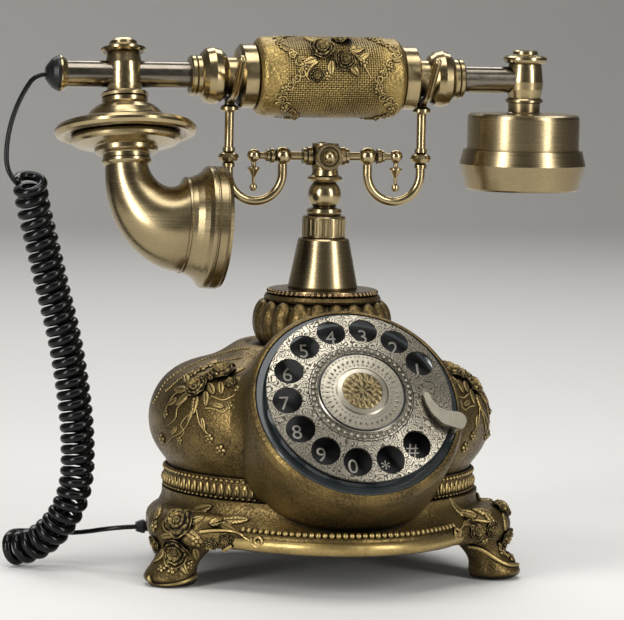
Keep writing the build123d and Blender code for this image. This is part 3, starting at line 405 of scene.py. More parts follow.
@dataclass(frozen=True)
class CastGold(RubbedAndShaded):
    """Cast resin with rubbed gold paint over a dark ground, and painted shade in its hollows."""

    bright: Colour = (0.42, 0.30, 0.12, 1)
    dark: Colour = (0.012, 0.008, 0.004, 1)
    roughness: float = 0.30
    wear: float = 0.75
    reach: float = 0.005
    limits: tuple[float, float] = (0.35, 0.98)
    grain: float = 620.0
    depth: float = 0.00055

    def rub_and_shade(self, sheet: SurfaceSheet, effects: Effects, relief: Any) -> bpy.types.NodeSocket:
        """Darkens the gold where the surface lies deep, partly as its real dark ground and partly as painted
        shade from ambient occlusion and the mesh's hollow attribute.

        Args:
            sheet: Material's sheet.
            effects: Shared shader groups.
            relief: Share of openness that the finish's own relief leaves; less openness means more painted
                shade.

        Returns:
            The roughness that the dark ground and the painted shade add.
        """
        # painted shade: ambient occlusion and the hollow attribute darken creases, sunk rims and stem
        # undersides
        around = sheet.add("ShaderNodeAmbientOcclusion", {"Distance": self.reach}, samples=8)
        hollow = sheet.add("ShaderNodeAttribute", attribute_name="hollow").outputs["Fac"]
        open_part = sheet.times(around.outputs["AO"], sheet.rest(sheet.times(hollow, 0.7)))
        sheet.finish({"Metallic": 0.85})
        low, high = self.limits
        values = {"Scale": 60.0, "Wear": self.wear, "Low": low, "High": high}
        return self.patina_and_shade(sheet, effects, sheet.times(open_part, relief), 0.25, **values)

    def fill(self, sheet: SurfaceSheet, effects: Effects) -> None:
        """Fills the cast finish's nodes.

        Args:
            sheet: Material's sheet.
            effects: Shared shader groups.
        """
        dulled = self.rub_and_shade(sheet, effects, 1.0)
        grain = sheet.group(effects.grain, {"Scale": self.grain, "Pits": 0.5})
        rough = sheet.plus(self.roughness - 0.05, sheet.times(grain["Value"], 0.16))
        sheet.finish({"Roughness": sheet.plus(rough, dulled)})
        sheet.bump(grain["Height"], 0.6, self.depth)


@dataclass(frozen=True)
class WovenGold(CastGold):
    """Gold rubbed over a cast net weave that follows the piece's own UV map between two plain hems, with
    painted shade between its threads.
    """

    threads: tuple[float, float] = (108.0, 62.0)
    hem: tuple[float, float] = (0.10, 0.21)

    def fill(self, sheet: SurfaceSheet, effects: Effects) -> None:
        """Fills the woven finish's nodes.

        Args:
            sheet: Material's sheet.
            effects: Shared shader groups.
        """
        where = sheet.add("ShaderNodeUVMap", uv_map="weave").outputs[0]
        parts = sheet.add("ShaderNodeSeparateXYZ", {0: where}).outputs
        waves = [
            sheet.calc("SINE", sheet.times(parts[axis], count * math.pi))
            for axis, count in enumerate(self.threads)
        ]
        cross = sheet.times(*[sheet.calc("ABSOLUTE", wave) for wave in waves])
        knot = sheet.plus(sheet.calc("POWER", cross, 0.7), sheet.times(sheet.times(*waves), 0.25))
        near, far = parts[1], sheet.rest(parts[1])
        inside = sheet.times(sheet.ramp(near, *self.hem), sheet.ramp(far, *self.hem))
        # painted shade between the threads of the weave, which is only a bump, over its dark ground
        sunk = sheet.times(sheet.rest(sheet.ramp(knot, 0.1, 0.65)), 0.72)
        dulled = self.rub_and_shade(sheet, effects, sheet.rest(sheet.times(sunk, inside)))
        sheet.finish({"Roughness": sheet.plus(self.roughness, dulled)})
        grain = sheet.group(effects.grain, {"Scale": self.grain})
        plain = sheet.times(grain["Height"], sheet.rest(inside))
        sheet.bump(sheet.plus(sheet.times(knot, inside), plain), 0.8, 0.0006)


@dataclass(frozen=True)
class EngravedSilver(RubbedAndShaded):
    """Satin silver plate with engraved leaf scrolls."""

    bright: Colour = (0.40, 0.365, 0.29, 1)
    dark: Colour = (0.055, 0.048, 0.036, 1)
    roughness: float = 0.32
    engraved: float = 1.0

    def fill(self, sheet: SurfaceSheet, effects: Effects) -> None:
        """Fills the silver's nodes.

        Args:
            sheet: Material's sheet.
            effects: Shared shader groups.
        """
        where = sheet.add("ShaderNodeTexCoord").outputs["Object"]
        bend = sheet.add("ShaderNodeTexNoise", {"Vector": where, "Scale": 260.0, "Detail": 2.0})
        inputs = {0: bend.outputs["Color"], "Scale": 0.0035}
        shift = sheet.add("ShaderNodeVectorMath", inputs, operation="SCALE")
        moved = sheet.add("ShaderNodeVectorMath", {0: where, 1: shift.outputs[0]}, operation="ADD")
        cells = sheet.add("ShaderNodeTexVoronoi", {"Vector": moved.outputs[0], "Scale": 230.0})
        curls = sheet.calc("SINE", sheet.times(cells.outputs["Distance"], 26.0))
        line = sheet.rest(sheet.times(sheet.ramp(curls, 0.15, 0.75), self.engraved))
        # painted shade: ambient occlusion darkens creases; the engraved lines are the plate's own pattern
        around = sheet.add("ShaderNodeAmbientOcclusion", {"Distance": 0.003}, samples=6)
        openness = sheet.times(around.outputs["AO"], sheet.plus(0.35, sheet.times(line, 0.65)))
        dulled = self.patina_and_shade(sheet, effects, openness, 0.2, Scale=150.0, Wear=0.35)
        sheet.finish({"Metallic": 1.0, "Roughness": sheet.plus(self.roughness, dulled)})
        sheet.bump(line, 0.6, 0.00025)


@dataclass(frozen=True)
class Plain(Finish):
    """Moulded plastic, rubber or paint with a faint grain."""

    colour: Colour = (0.01, 0.01, 0.01, 1)
    second: Colour = (0.02, 0.02, 0.02, 1)
    roughness: float = 0.3
    grain: float = 900.0
    depth: float = 0.00003
    metallic: float = 0.0
    coat: float = 0.0
    specular: float = 0.4

    def fill(self, sheet: SurfaceSheet, effects: Effects) -> None:
        """Fills the plain finish's nodes.

        Args:
            sheet: Material's sheet.
            effects: Shared shader groups.
        """
        grain = sheet.group(effects.grain, {"Scale": self.grain, "Pits": 0.2})
        colour = sheet.mix(sheet.ramp(grain["Value"], 0.3, 0.7), self.colour, self.second)
        rough = sheet.plus(self.roughness - 0.04, sheet.times(grain["Value"], 0.08))
        sheet.finish({"Base Color": colour, "Roughness": rough, "Metallic": self.metallic})
        sheet.finish({"Coat Weight": self.coat, "Specular IOR Level": self.specular})
        sheet.bump(grain["Height"], 0.3, self.depth)


class Finishes:
    """All materials of the phone, by name."""

    def __init__(self) -> None:
        """Builds every finish."""
        effects = Effects()
        kinds: tuple[Finish, ...] = (
            # The second colour of each metal and the dark of each gold is painted shade for creases and
            # hollows, over the gold's dark ground.
            Metal("smooth_brass", (0.40, 0.315, 0.17, 1), (0.045, 0.032, 0.014, 1), 0.21, wear=0.14),
            Metal("brushed_brass", (0.33, 0.26, 0.145, 1), (0.05, 0.036, 0.018, 1), 0.25, Brush.LEVEL, 0.14),
            Metal("dark_nickel", (0.20, 0.175, 0.14, 1), (0.04, 0.034, 0.025, 1), 0.2),
            Metal("copper_brass", (0.28, 0.195, 0.10, 1), (0.05, 0.034, 0.017, 1), 0.2),
            CastGold("cast_gold", (0.185, 0.126, 0.043, 1)),
            CastGold(
                "ornament_gold",
                (0.46, 0.335, 0.13, 1),
                wear=0.35,
                limits=(0.35, 0.95),
                grain=700.0,
                depth=0.00012,
            ),
            CastGold(
                "coin_bronze", (0.24, 0.185, 0.09, 1), wear=0.3, limits=(0.5, 1.0), grain=900.0, depth=0.0001
            ),
            WovenGold("woven_gold", (0.385, 0.272, 0.092, 1), wear=0.5, limits=(0.2, 0.9)),
            EngravedSilver("engraved_silver"),
            EngravedSilver("plain_silver", engraved=0.0, roughness=0.28),
            # darker copy of the silver: painted shade for the sunken bead channel
            EngravedSilver("shaded_silver", (0.17, 0.155, 0.12, 1), engraved=0.0, roughness=0.4),
            Plain("bezel_grey", (0.017, 0.021, 0.023, 1), (0.022, 0.027, 0.029, 1), 0.2, coat=0.4),
            Plain("gloss_black", (0.004, 0.004, 0.004, 1), (0.008, 0.008, 0.008, 1), 0.18),
            Plain("black_rubber", (0.005, 0.005, 0.005, 1), (0.010, 0.010, 0.010, 1), 0.36, specular=0.25),
            Plain("cord_black", (0.0025, 0.0025, 0.0025, 1), (0.005, 0.005, 0.005, 1), 0.2, specular=0.25),
            Plain("numeral_cream", (0.36, 0.335, 0.28, 1), (0.42, 0.39, 0.33, 1), 0.5),
            Plain("steel", (0.45, 0.45, 0.45, 1), (0.52, 0.52, 0.52, 1), 0.3, metallic=1.0),
            Plain("board_green", (0.02, 0.10, 0.04, 1), (0.03, 0.14, 0.06, 1), 0.4),
        )
        self.by_name = {kind.name: kind.make(effects) for kind in kinds}

    def __getitem__(self, name: str) -> bpy.types.Material:
        """Gives a material by its name."""
        return self.by_name[name]


# View and stage


@dataclass
class Studio:
    """Camera at the photograph's place, floor, backdrop and soft lights."""

    place: Point = (-0.42180, -1.68051, 0.30109)
    azimuth: float = math.radians(-13.8)
    elevation: float = math.radians(5.44)
    roll: float = math.radians(1.2)
    focal_px: float = 3400.0
    frame_px: tuple[int, int] = (624, 620)
    sensor: float = 36.0
    floor_half: float = 4.0
    floor_front: float = -3.5
    floor_back: float = 2.4
    sweep: float = 0.8
    sweep_steps: int = 12
    wall_top: float = 3.0
    aim: Point = (0.0, 0.0, 0.13)
    boxes: tuple = (
        ("left_box", (-1.45, -1.05, 0.70), (0.42, 1.30), 24.0),
        ("right_box", (0.95, -1.30, 0.70), (0.36, 1.30), 17.0),
        ("top_box", (-0.1, -0.25, 1.6), (1.2, 0.9), 15.0),
        ("back_box", (0.2, 1.5, 1.9), (2.2, 0.8), 26.0),
    )
    sky: Colour = (0.40, 0.385, 0.365, 1)
    sky_strength: float = 0.22

    def axes(self) -> tuple[Vector, Vector, Vector]:
        """Works out the camera's axes.

        Returns:
            The right, up and backward directions.
        """
        level, rise = math.cos(self.elevation), math.sin(self.elevation)
        ahead, aside = math.cos(self.azimuth), math.sin(self.azimuth)
        back = Vector((aside * level, -ahead * level, rise))
        right = Vector((ahead, aside, 0.0))
        up = back.cross(right)
        turned_right = right * math.cos(self.roll) + up * math.sin(self.roll)
        turned_up = up * math.cos(self.roll) - right * math.sin(self.roll)
        return turned_right, turned_up, back

    def ray(self, spot: Spot) -> Place:
        """Gives the line of sight through a pixel.

        Args:
            spot: Pixel across and down.

        Returns:
            Start and direction of the line.
        """
        right, up, back = self.axes()
        across = (spot[0] - self.frame_px[0] / 2) / self.focal_px
        down = (spot[1] - self.frame_px[1] / 2) / self.focal_px
        return Vector(self.place), (right * across - up * down - back).normalized()

    def build(self) -> None:
        """Makes the camera, the floor and the lights."""
        self._camera()
        self._floor()
        self._lights()

    def _camera(self) -> None:
        """Makes the camera."""
        data = bpy.data.cameras.new("view")
        data.sensor_width = self.sensor
        data.sensor_fit = "HORIZONTAL"
        data.lens = self.focal_px * data.sensor_width / self.frame_px[0]
        camera = in_scene("view", data)
        turn = Matrix(self.axes()).transposed().to_4x4()
        camera.matrix_world = Matrix.Translation(self.place) @ turn
        bpy.context.scene.camera = camera

    def _floor(self) -> None:
        """Makes the pale floor that sweeps up into a backdrop."""
        profile = [(self.floor_front, 0.0), (self.floor_back, 0.0)]
        for step in range(1, self.sweep_steps + 1):
            angle = math.pi / 2 * step / self.sweep_steps
            rise = self.sweep - self.sweep * math.cos(angle)
            profile.append((self.floor_back + self.sweep * math.sin(angle), rise))
        profile.append((self.floor_back + self.sweep, self.wall_top))
        verts = [(x, y, z) for y, z in profile for x in (-self.floor_half, self.floor_half)]
        faces = [(2 * i, 2 * i + 1, 2 * i + 3, 2 * i + 2) for i in range(len(profile) - 1)]
        sheet = SurfaceSheet("pale_floor")
        noise = sheet.add("ShaderNodeTexNoise", {"Scale": 3.0, "Detail": 3.0})
        tone = sheet.mix(noise.outputs[0], (0.70, 0.69, 0.665, 1), (0.74, 0.73, 0.71, 1))
        sheet.finish({"Base Color": tone, "Roughness": 0.7})
        mesh_piece("studio_floor", verts, faces, sheet.material)

    def _lights(self) -> None:
        """Makes the soft boxes and the even sky."""
        for name, place, size, power in self.boxes:
            data = bpy.data.lights.new(name, "AREA")
            data.shape = "RECTANGLE"
            data.size, data.size_y = size
            data.energy = power
            turn = (Vector(self.aim) - Vector(place)).to_track_quat("-Z", "Y")
            in_scene(name, data).matrix_world = Matrix.Translation(place) @ turn.to_matrix().to_4x4()
        world = bpy.data.worlds.new("even_sky")
        world.use_nodes = True
        inputs = {"Color": self.sky, "Strength": self.sky_strength}
        NodeSheet(world.node_tree).feed(world.node_tree.nodes["Background"], inputs)
        bpy.context.scene.world = world
        bpy.context.scene.view_settings.view_transform = "Standard"


# Mesh helpers


def in_scene(name: str, data: bpy.types.ID) -> bpy.types.Object:
    """Puts data into the scene as an object.

    Args:
        name: Object name.
        data: Mesh, curve, camera or light.

    Returns:
        The new object.
    """
    thing = bpy.data.objects.new(name, data)
    bpy.context.scene.collection.objects.link(thing)
    return thing


def plain_mesh(holder: bpy.types.Object) -> bpy.types.Mesh:
    """Turns an object into a plain mesh and takes the object away.

    Args:
        holder: Object in the scene.

    Returns:
        Its mesh with modifiers and bevels worked in.
    """
    graph = bpy.context.evaluated_depsgraph_get()
    mesh = bpy.data.meshes.new_from_object(holder.evaluated_get(graph), depsgraph=graph)
    bpy.data.objects.remove(holder)
    return mesh


def mesh_piece(name: str, verts: Sequence, faces: Sequence, material: bpy.types.Material) -> bpy.types.Object:
    """Makes a smooth mesh object at the origin.

    Args:
        name: Piece name.
        verts: Points in metres.
        faces: Faces as point numbers.
        material: Finish.

    Returns:
        The new object.
    """
    mesh = bpy.data.meshes.new(name)
    mesh.from_pydata([tuple(v) for v in verts], [], [tuple(f) for f in faces])
    mesh.update()
    mesh.shade_smooth()
    mesh.materials.append(material)
    return in_scene(name, mesh)


def circle(steps: int) -> list[float]:
    """Gives even angles once round."""
    return [2 * math.pi * step / steps for step in range(steps)]


def disc(rings: int, around: int) -> list[Spot]:
    """Gives radius and angle of points from the edge of a disc of radius 1 to its middle."""
    return [(1.0 - ring / rings, angle) for ring in range(rings + 1) for angle in circle(around)]


def hump(distance: float, width: float) -> float:
    """Gives a soft bell that is 1 at distance 0."""
    return math.exp(-((distance / width) ** 2))


def grid_faces(rows: int, columns: int, closed: bool) -> list[tuple[int, int, int, int]]:
    """Numbers the faces of a grid of points.

    Args:
        rows: Rows of points.
        columns: Points in a row.
        closed: Whether each row joins up with itself.

    Returns:
        The faces.
    """
    faces = []
    for low in range(0, (rows - 1) * columns, columns):
        high = low + columns
        for column in range(columns if closed else columns - 1):
            after = (column + 1) % columns
            faces.append((low + column, low + after, high + after, high + column))
    return faces


def smooth_path(points: Sequence[Vector], steps: int = 6) -> list[Vector]:
    """Draws a smooth line through points.

    Args:
        points: Points on the line.
        steps: Steps between two points.

    Returns:
        Points along the line.
    """
    ends = [points[0] * 2 - points[1], *points, points[-1] * 2 - points[-2]]
    line = []
    for a, b, c, d in zip(ends, ends[1:], ends[2:], ends[3:]):
        for step in range(steps):
            t = step / steps
            bend = 2 * a - 5 * b + 4 * c - d
            line.append(0.5 * (2 * b + (c - a) * t + bend * t * t + (3 * b - a - 3 * c + d) * t**3))
    line.append(points[-1].copy())
    return line


def frame_on(normal: Vector, spin: float = 0.0) -> Matrix:
    """Gives a turn that stands local Z on a normal.

    Args:
        normal: Outward direction.
        spin: Turn about it, with 0 keeping local Y as near to up as it can be.

    Returns:
        The turn.
    """
    out = normal.normalized()
    guide = Vector((0, 0, 1)) if abs(out.z) < 0.95 else Vector((0, 1, 0))
    across = guide.cross(out).normalized()
    upward = out.cross(across)
    return Matrix((across, upward, out)).transposed() @ Matrix.Rotation(spin, 3, "Z")


class Carrier:
    """Surface of some nodes that ornaments sit on."""

    def __init__(self, nodes: Nodes, *names: str) -> None:
        """Gathers the nodes' faces into one search tree.

        Args:
            nodes: Construction nodes.
            names: Nodes that carry the ornament.
        """
        verts: list[Vector] = []
        faces: list[tuple[int, ...]] = []
        for name in names:
            mesh = nodes[name].data
            first = len(verts)
            verts += [vertex.co.copy() for vertex in mesh.vertices]
            faces += [tuple(first + i for i in polygon.vertices) for polygon in mesh.polygons]
        self.tree = BVHTree.FromPolygons(verts, faces)
        self.top = max(vert.z for vert in verts)

    def seen(self, studio: Studio, spot: Spot) -> Place | None:
        """Finds what the camera sees at a pixel.

        Args:
            studio: Holds the camera.
            spot: Pixel across and down.

        Returns:
            Place and outward normal, or None where the surface isn't seen.
        """
        start, way = studio.ray(spot)
        place, normal, _, _ = self.tree.ray_cast(start, way)
        if place is None:
            return None
        return place, normal if normal.dot(way) < 0 else -normal

# Repeated shapes


class BeadString:
    """Geometry node tree that sets small rounded shapes along a path."""

    def __init__(self) -> None:
        """Builds the tree with its named inputs."""
        tree = bpy.data.node_groups.new("beads_on_path", "GeometryNodeTree")
        self.tree = tree
        self.sockets: dict[str, str] = {}
        for label, kind in (
            ("Geometry", "NodeSocketGeometry"),
            ("Count", "NodeSocketInt"),
            ("Size", "NodeSocketVector"),
            ("Finish", "NodeSocketMaterial"),
            ("Seed", "NodeSocketInt"),
        ):
            socket = tree.interface.new_socket(label, in_out="INPUT", socket_type=kind)
            self.sockets[label] = socket.identifier
        tree.interface.new_socket("Geometry", in_out="OUTPUT", socket_type="NodeSocketGeometry")
        sheet = NodeSheet(tree)
        start = sheet.add("NodeGroupInput").outputs
        line = sheet.add("GeometryNodeMeshToCurve", {"Mesh": start["Geometry"]})
        inputs = {"Curve": line.outputs[0], "Count": start["Count"]}
        spread = sheet.add("GeometryNodeResampleCurve", inputs, mode="COUNT")
        bead = sheet.add("GeometryNodeMeshUVSphere", {"Segments": 10, "Rings": 6, "Radius": 1.0})
        way = sheet.add("GeometryNodeInputTangent")
        inputs = {"Vector": way.outputs[0]}
        turn = sheet.add("FunctionNodeAlignRotationToVector", inputs, axis="X", pivot_axis="Z")
        inputs = {2: 0.93, 3: 1.07, "Seed": start["Seed"]}
        jitter = sheet.add("FunctionNodeRandomValue", inputs, data_type="FLOAT")
        inputs = {0: start["Size"], "Scale": jitter.outputs[1]}
        size = sheet.add("ShaderNodeVectorMath", inputs, operation="SCALE")
        placed = sheet.add(
            "GeometryNodeInstanceOnPoints",
            {
                "Points": spread.outputs[0],
                "Instance": bead.outputs["Mesh"],
                "Rotation": turn.outputs[0],
                "Scale": size.outputs[0],
            },
        )
        real = sheet.add("GeometryNodeRealizeInstances", {"Geometry": placed.outputs[0]})
        smooth = sheet.add("GeometryNodeSetShadeSmooth", {"Geometry": real.outputs[0]})
        inputs = {"Geometry": smooth.outputs[0], "Material": start["Finish"]}
        dressed = sheet.add("GeometryNodeSetMaterial", inputs)
        sheet.add("NodeGroupOutput", {0: dressed.outputs[0]})

    def lay(
        self,
        name: str,
        path: Sequence[Vector],
        closed: bool,
        count: int,
        size: Point,
        material: bpy.types.Material,
    ) -> bpy.types.Object:
        """Lays beads along a path.

        Args:
            name: Piece name.
            path: Points of the path.
            closed: Whether the path joins up with itself.
            count: Number of beads.
            size: Half size along the path, across it and upward, in millimetres.
            material: Finish of the beads.

        Returns:
            The beads as a plain mesh piece.
        """
        edges = [(i, i + 1) for i in range(len(path) - 1)]
        if closed:
            edges.append((len(path) - 1, 0))
        mesh = bpy.data.meshes.new(name + "_path")
        mesh.from_pydata([tuple(p) for p in path], edges, [])
        source = in_scene(name + "_path", mesh)
        modifier = source.modifiers.new("beads", "NODES")
        modifier.node_group = self.tree
        values = {"Count": count, "Size": tuple(x * MM for x in size), "Finish": material, "Seed": 7}
        for label, value in values.items():
            modifier[self.sockets[label]] = value
        made = plain_mesh(source)
        made.name = name
        return in_scene(name, made)


class Ornament:
    """Raised flowers, leaves and stems gathered into one mesh that lies on a carrier."""

    def __init__(self, name: str, carrier: Carrier, studio: Studio) -> None:
        """Starts an empty ornament.

        Args:
            name: Piece name.
            carrier: Surface that it lies on.
            studio: Holds the camera that the places were read with.
        """
        self.name = name
        self.carrier = carrier
        self.studio = studio
        self.verts: list[Vector] = []
        self.faces: list[tuple[int, ...]] = []
        # painted shade of each point, read by the gold finishes
        self.hollows: list[float] = []

    def place(self, spot: Spot) -> Place | None:
        """Finds the surface at a pixel."""
        return self.carrier.seen(self.studio, spot)

    def drape(self, spot: Place, spin: float, flat: Sequence[Point]) -> list[Vector]:
        """Lays points on the surface around a place.

        Args:
            spot: Middle of the ornament on the surface and the normal there.
            spin: Turn about the normal.
            flat: Points across, up and outward.

        Returns:
            The points in space.
        """
        turn = frame_on(spot[1], spin)
        across, upward, out = turn.col[0], turn.col[1], turn.col[2]
        points = []
        for u, v, h in flat:
            level = spot[0] + across * u + upward * v
            hit, _, _, gap = self.carrier.tree.ray_cast(level + out * DRAPE_REACH, -out)
            base = hit if hit is not None and gap < 2 * DRAPE_REACH else level
            points.append(base + out * h)
        return points

    def add(self, points: list[Vector], faces: Sequence[tuple[int, ...]], hollows: list[float]) -> None:
        """Adds a patch.

        Args:
            points: Points in space.
            faces: Faces as point numbers of the patch.
            hollows: Painted shade of each point, from 0 to 1, set where it lies deep, at its sunk rim and
                under stems.
        """
        first = len(self.verts)
        self.verts += points
        self.hollows += hollows
        self.faces += [tuple(first + i for i in face) for face in faces]

    def rose(self, spot: Place, radius: float, height: float, spin: float) -> None:
        """Adds a full rose with layered petals.

        Args:
            spot: Place and normal.
            radius: Outer radius.
            height: Height at the middle.
            spin: Turn about the normal.
        """
        rings, around = 30, 40
        flat, hollows = [], []
        for share, angle in disc(rings, around):
            lift, hollow = self._petal_height(share, angle)
            sunk = 0.0006 if share == 1.0 else 0.0
            flat.append((*self._petal(share, angle, radius), height * lift - sunk))
            # painted shade: full at the rim pressed into the carrier, else from the petal relief
            hollows.append(1.0 if sunk else hollow)
        self.add(self.drape(spot, spin, flat), grid_faces(rings + 1, around, True), hollows)

    @staticmethod
    def _petal(share: float, angle: float, radius: float) -> Spot:
        """Gives a rose point's place across and up."""
        reach = radius * share * (1.0 - 0.10 * abs(math.sin(PETALS * angle / 2)) ** 6 * share)
        return reach * math.cos(angle), reach * math.sin(angle)

    @staticmethod
    def _petal_height(share: float, angle: float) -> Spot:
        """Works out the relief of a rose.

        Args:
            share: Distance from the middle as a share of the radius.
            angle: Angle round the middle.

        Returns:
            Height as a share of the full height, and the painted shade at the point, from 0 to 1, strongest
            in the bud's curl, at the foot of each petal layer and along the seams.
        """
        edges = (0.0, 0.24, 0.50, 0.76, 1.0)
        wave = 0.05 * math.sin(PETALS * angle + 14 * share)
        turned = min(max(share + wave * share, 0.0), 0.999)
        layer = max(i for i in range(4) if edges[i] <= turned)
        part = (turned - edges[layer]) / (edges[layer + 1] - edges[layer])
        lip = part**2 * (0.62 if layer else 0.25)
        dome = 0.72 * (1.0 - 0.8 * edges[layer] ** 1.5)
        if layer == 0:
            curl = (0.5 + 0.5 * math.cos(angle - 2 * math.pi * turned / 0.12)) ** 3
            return dome - 0.22 * part + lip - 0.2 * curl, curl
        seam = 0.24 * hump(math.sin((PETALS * angle + 3.1 * layer) / 2), 0.16) * part
        deep = max(hump(part, 0.36), 2.6 * seam)
        return dome - 0.22 * part + lip - seam, min(deep, 1.0)

    def flower(self, spot: Place, radius: float, height: float) -> None:
        """Adds a small open flower with a round middle.

        Args:
            spot: Place and normal.
            radius: Outer radius.
            height: Height at the middle.
        """
        rings, around = 10, 30
        flat, hollows = [], []
        for share, angle in disc(rings, around):
            lobe = abs(math.cos(PETALS * angle / 2))
            reach = radius * share * (0.62 + 0.38 * lobe**0.6 if share > 0.35 else 1.0)
            cup = 0.5 + 0.5 * math.sin(math.pi * share) * lobe
            lift = 1.0 - 0.3 * share if share < 0.3 else 0.35 + 0.45 * cup * (1.15 - share)
            sunk = 0.0005 if share == 1.0 else 0.0
            flat.append((reach * math.cos(angle), reach * math.sin(angle), height * lift - sunk))
            # painted shade round the flower's middle, between its petals and at its rim
            deep = max(hump(share - 0.36, 0.1), 0.8 * (1.0 - lobe) if share > 0.35 else 0.0)
            hollows.append(1.0 if sunk else deep)
        self.add(self.drape(spot, 0.0, flat), grid_faces(rings + 1, around, True), hollows)

    def leaf(self, spot: Place, length: float, width: float, spin: float, height: float) -> None:
        """Adds a toothed leaf with a middle vein.

        Args:
            spot: Place of its middle and normal.
            length: Full length.
            width: Full width.
            spin: Turn of its tip from up, anticlockwise.
            height: Height of its middle.
        """
        rows, columns = 25, 11
        flat, hollows = [], []
        for row in range(rows):
            t = row / (rows - 1)
            tooth = 1.0 - 0.16 * ((t * 6) % 1.0)
            half = 0.5 * width * math.sin(math.pi * (0.04 + 0.93 * t**0.8)) ** 0.8 * tooth
            for column in range(columns):
                s = 2 * column / (columns - 1) - 1
                ribs = 0.14 * math.cos(2 * math.pi * (t * 6 - abs(s) * 1.3))
                body = 0.75 * (1 - s * s) ** 0.5 + ribs * (1 - s * s)
                edge = -0.0004 if abs(s) == 1 or row in (0, rows - 1) else 0.0
                rise = height * (body - 0.35 * hump(s, 0.16) + 0.25) + edge
                flat.append((s * half, (t - 0.5) * length, rise))
                # painted shade along the vein, between the ribs and at the leaf's rim
                hollows.append(1.0 if edge else max(0.8 * hump(s, 0.13), -2.6 * ribs))
        self.add(self.drape(spot, spin, flat), grid_faces(rows, columns, False), hollows)

    def stem(self, line: Sequence[Place], radius: float, taper: float = 1.0) -> None:
        """Adds a round stem along points on the surface.

        Args:
            line: Points on the surface and the normals there.
            radius: Radius at its start.
            taper: Radius at its end as a share of that.
        """
        around, last = 8, len(line) - 1
        points, hollows = [], []
        for index, (spot, out) in enumerate(line):
            heading = (line[min(index + 1, last)][0] - line[max(index - 1, 0)][0]).normalized()
            side = out.cross(heading).normalized()
            over = heading.cross(side)
            size = radius * (1 + (taper - 1) * (index / last))
            for angle in circle(around):
                ring = side * math.cos(angle) + over * math.sin(angle)
                points.append(spot + out * size * 0.35 + ring * size)
                # painted shade on the half of the stem that faces the surface
                hollows.append(1.0 if over.dot(out) * math.sin(angle) < 0.1 else 0.0)
        self.add(points, grid_faces(len(line), around, True), hollows)

    def scroll(self, spot: Place, radius: float, turns: float, spin: float, size: float) -> None:
        """Adds a volute: a stem that winds inward.

        Args:
            spot: Place of its middle and normal.
            radius: Outer radius.
            turns: Turns, anticlockwise where positive.
            spin: Where the stem starts.
            size: Radius of the stem.
        """
        steps = int(14 * abs(turns)) + 2
        flat = []
        for step in range(steps):
            share = step / (steps - 1)
            angle = 2 * math.pi * turns * share
            reach = radius * (1.0 - 0.8 * share)
            flat.append((reach * math.cos(angle), reach * math.sin(angle), 0.0))
        self.stem([(point, spot[1]) for point in self.drape(spot, spin, flat)], size, 0.8)

    def vine(self, spots: Sequence[Spot], radius: float, taper: float = 0.5) -> None:
        """Adds a stem through pixels of the photograph's view, broken where the surface jumps.

        Args:
            spots: Pixels across and down.
            radius: Radius at its start.
            taper: Radius at its end as a share of that.
        """
        drawn = smooth_path([Vector((x, y, 0)) for x, y in spots], 7)
        runs: list[list[Place]] = [[]]
        for spot in [self.place((p.x, p.y)) for p in drawn]:
            if spot is None or (runs[-1] and (spot[0] - runs[-1][-1][0]).length > 5 * MM):
                runs.append([])
            if spot is not None:
                runs[-1].append(spot)
        for run in runs:
            if len(run) > 3:
                self.stem(run, radius, taper)

    def bouquet(self, roses: tuple, flowers: tuple, leaves: tuple, vines: tuple, stem: float) -> None:
        """Adds roses, flowers, leaves and vines at pixels of the photograph's view.

        Args:
            roses: Pixel and radius of each rose.
            flowers: Pixel and radius of each small flower.
            leaves: Pixel, length, width and turn of each leaf.
            vines: Pixels of each vine.
            stem: Radius of the vines.
        """
        for spot, length, width, spin in leaves:
            if found := self.place(spot):
                self.leaf(found, length * MM, width * MM, math.radians(spin), 0.2 * width * MM)
        for spot, size in roses:
            if found := self.place(spot):
                self.rose(found, size * MM, 0.58 * size * MM, size)
        for spot, size in flowers:
            if found := self.place(spot):
                self.flower(found, size * MM, 0.6 * size * MM)
        for spots in vines:
            self.vine(spots, stem)

    def mirrored(self) -> None:
        """Adds the same ornament on the other flank."""
        first = len(self.verts)
        self.verts += [Vector((-v.x, v.y, v.z)) for v in self.verts]
        self.faces += [tuple(first + i for i in reversed(face)) for face in self.faces]
        self.hollows += self.hollows

    def finish(self, material: bpy.types.Material, body: str, slot: str) -> bpy.types.Object:
        """Makes the mesh piece.

        Args:
            material: Finish.
            body: Body that it rides.
            slot: Material slot; not used.

        Returns:
            The piece.
        """
        lid = self.carrier.top if body == "handset" else math.inf
        kept = [Vector((v.x, v.y, max(min(v.z, lid), 0.8 * MM))) for v in self.verts]
        piece = mesh_piece(self.name, kept, self.faces, material)
        # the hollow attribute carries the painted shade that the gold finishes read
        piece.data.attributes.new("hollow", "FLOAT", "POINT").data.foreach_set("value", self.hollows)
        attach(piece, body)
        return piece


# Sub-assemblies


@dataclass(frozen=True)
class Workshop:
    """What the sub-assemblies are built with."""

    nodes: Nodes
    studio: Studio
    finishes: Finishes
    beads: BeadString

    def ornament(self, name: str, *carriers: str) -> Ornament:
        """Starts an ornament that lies on some construction nodes."""
        return Ornament(name, Carrier(self.nodes, *carriers), self.studio)


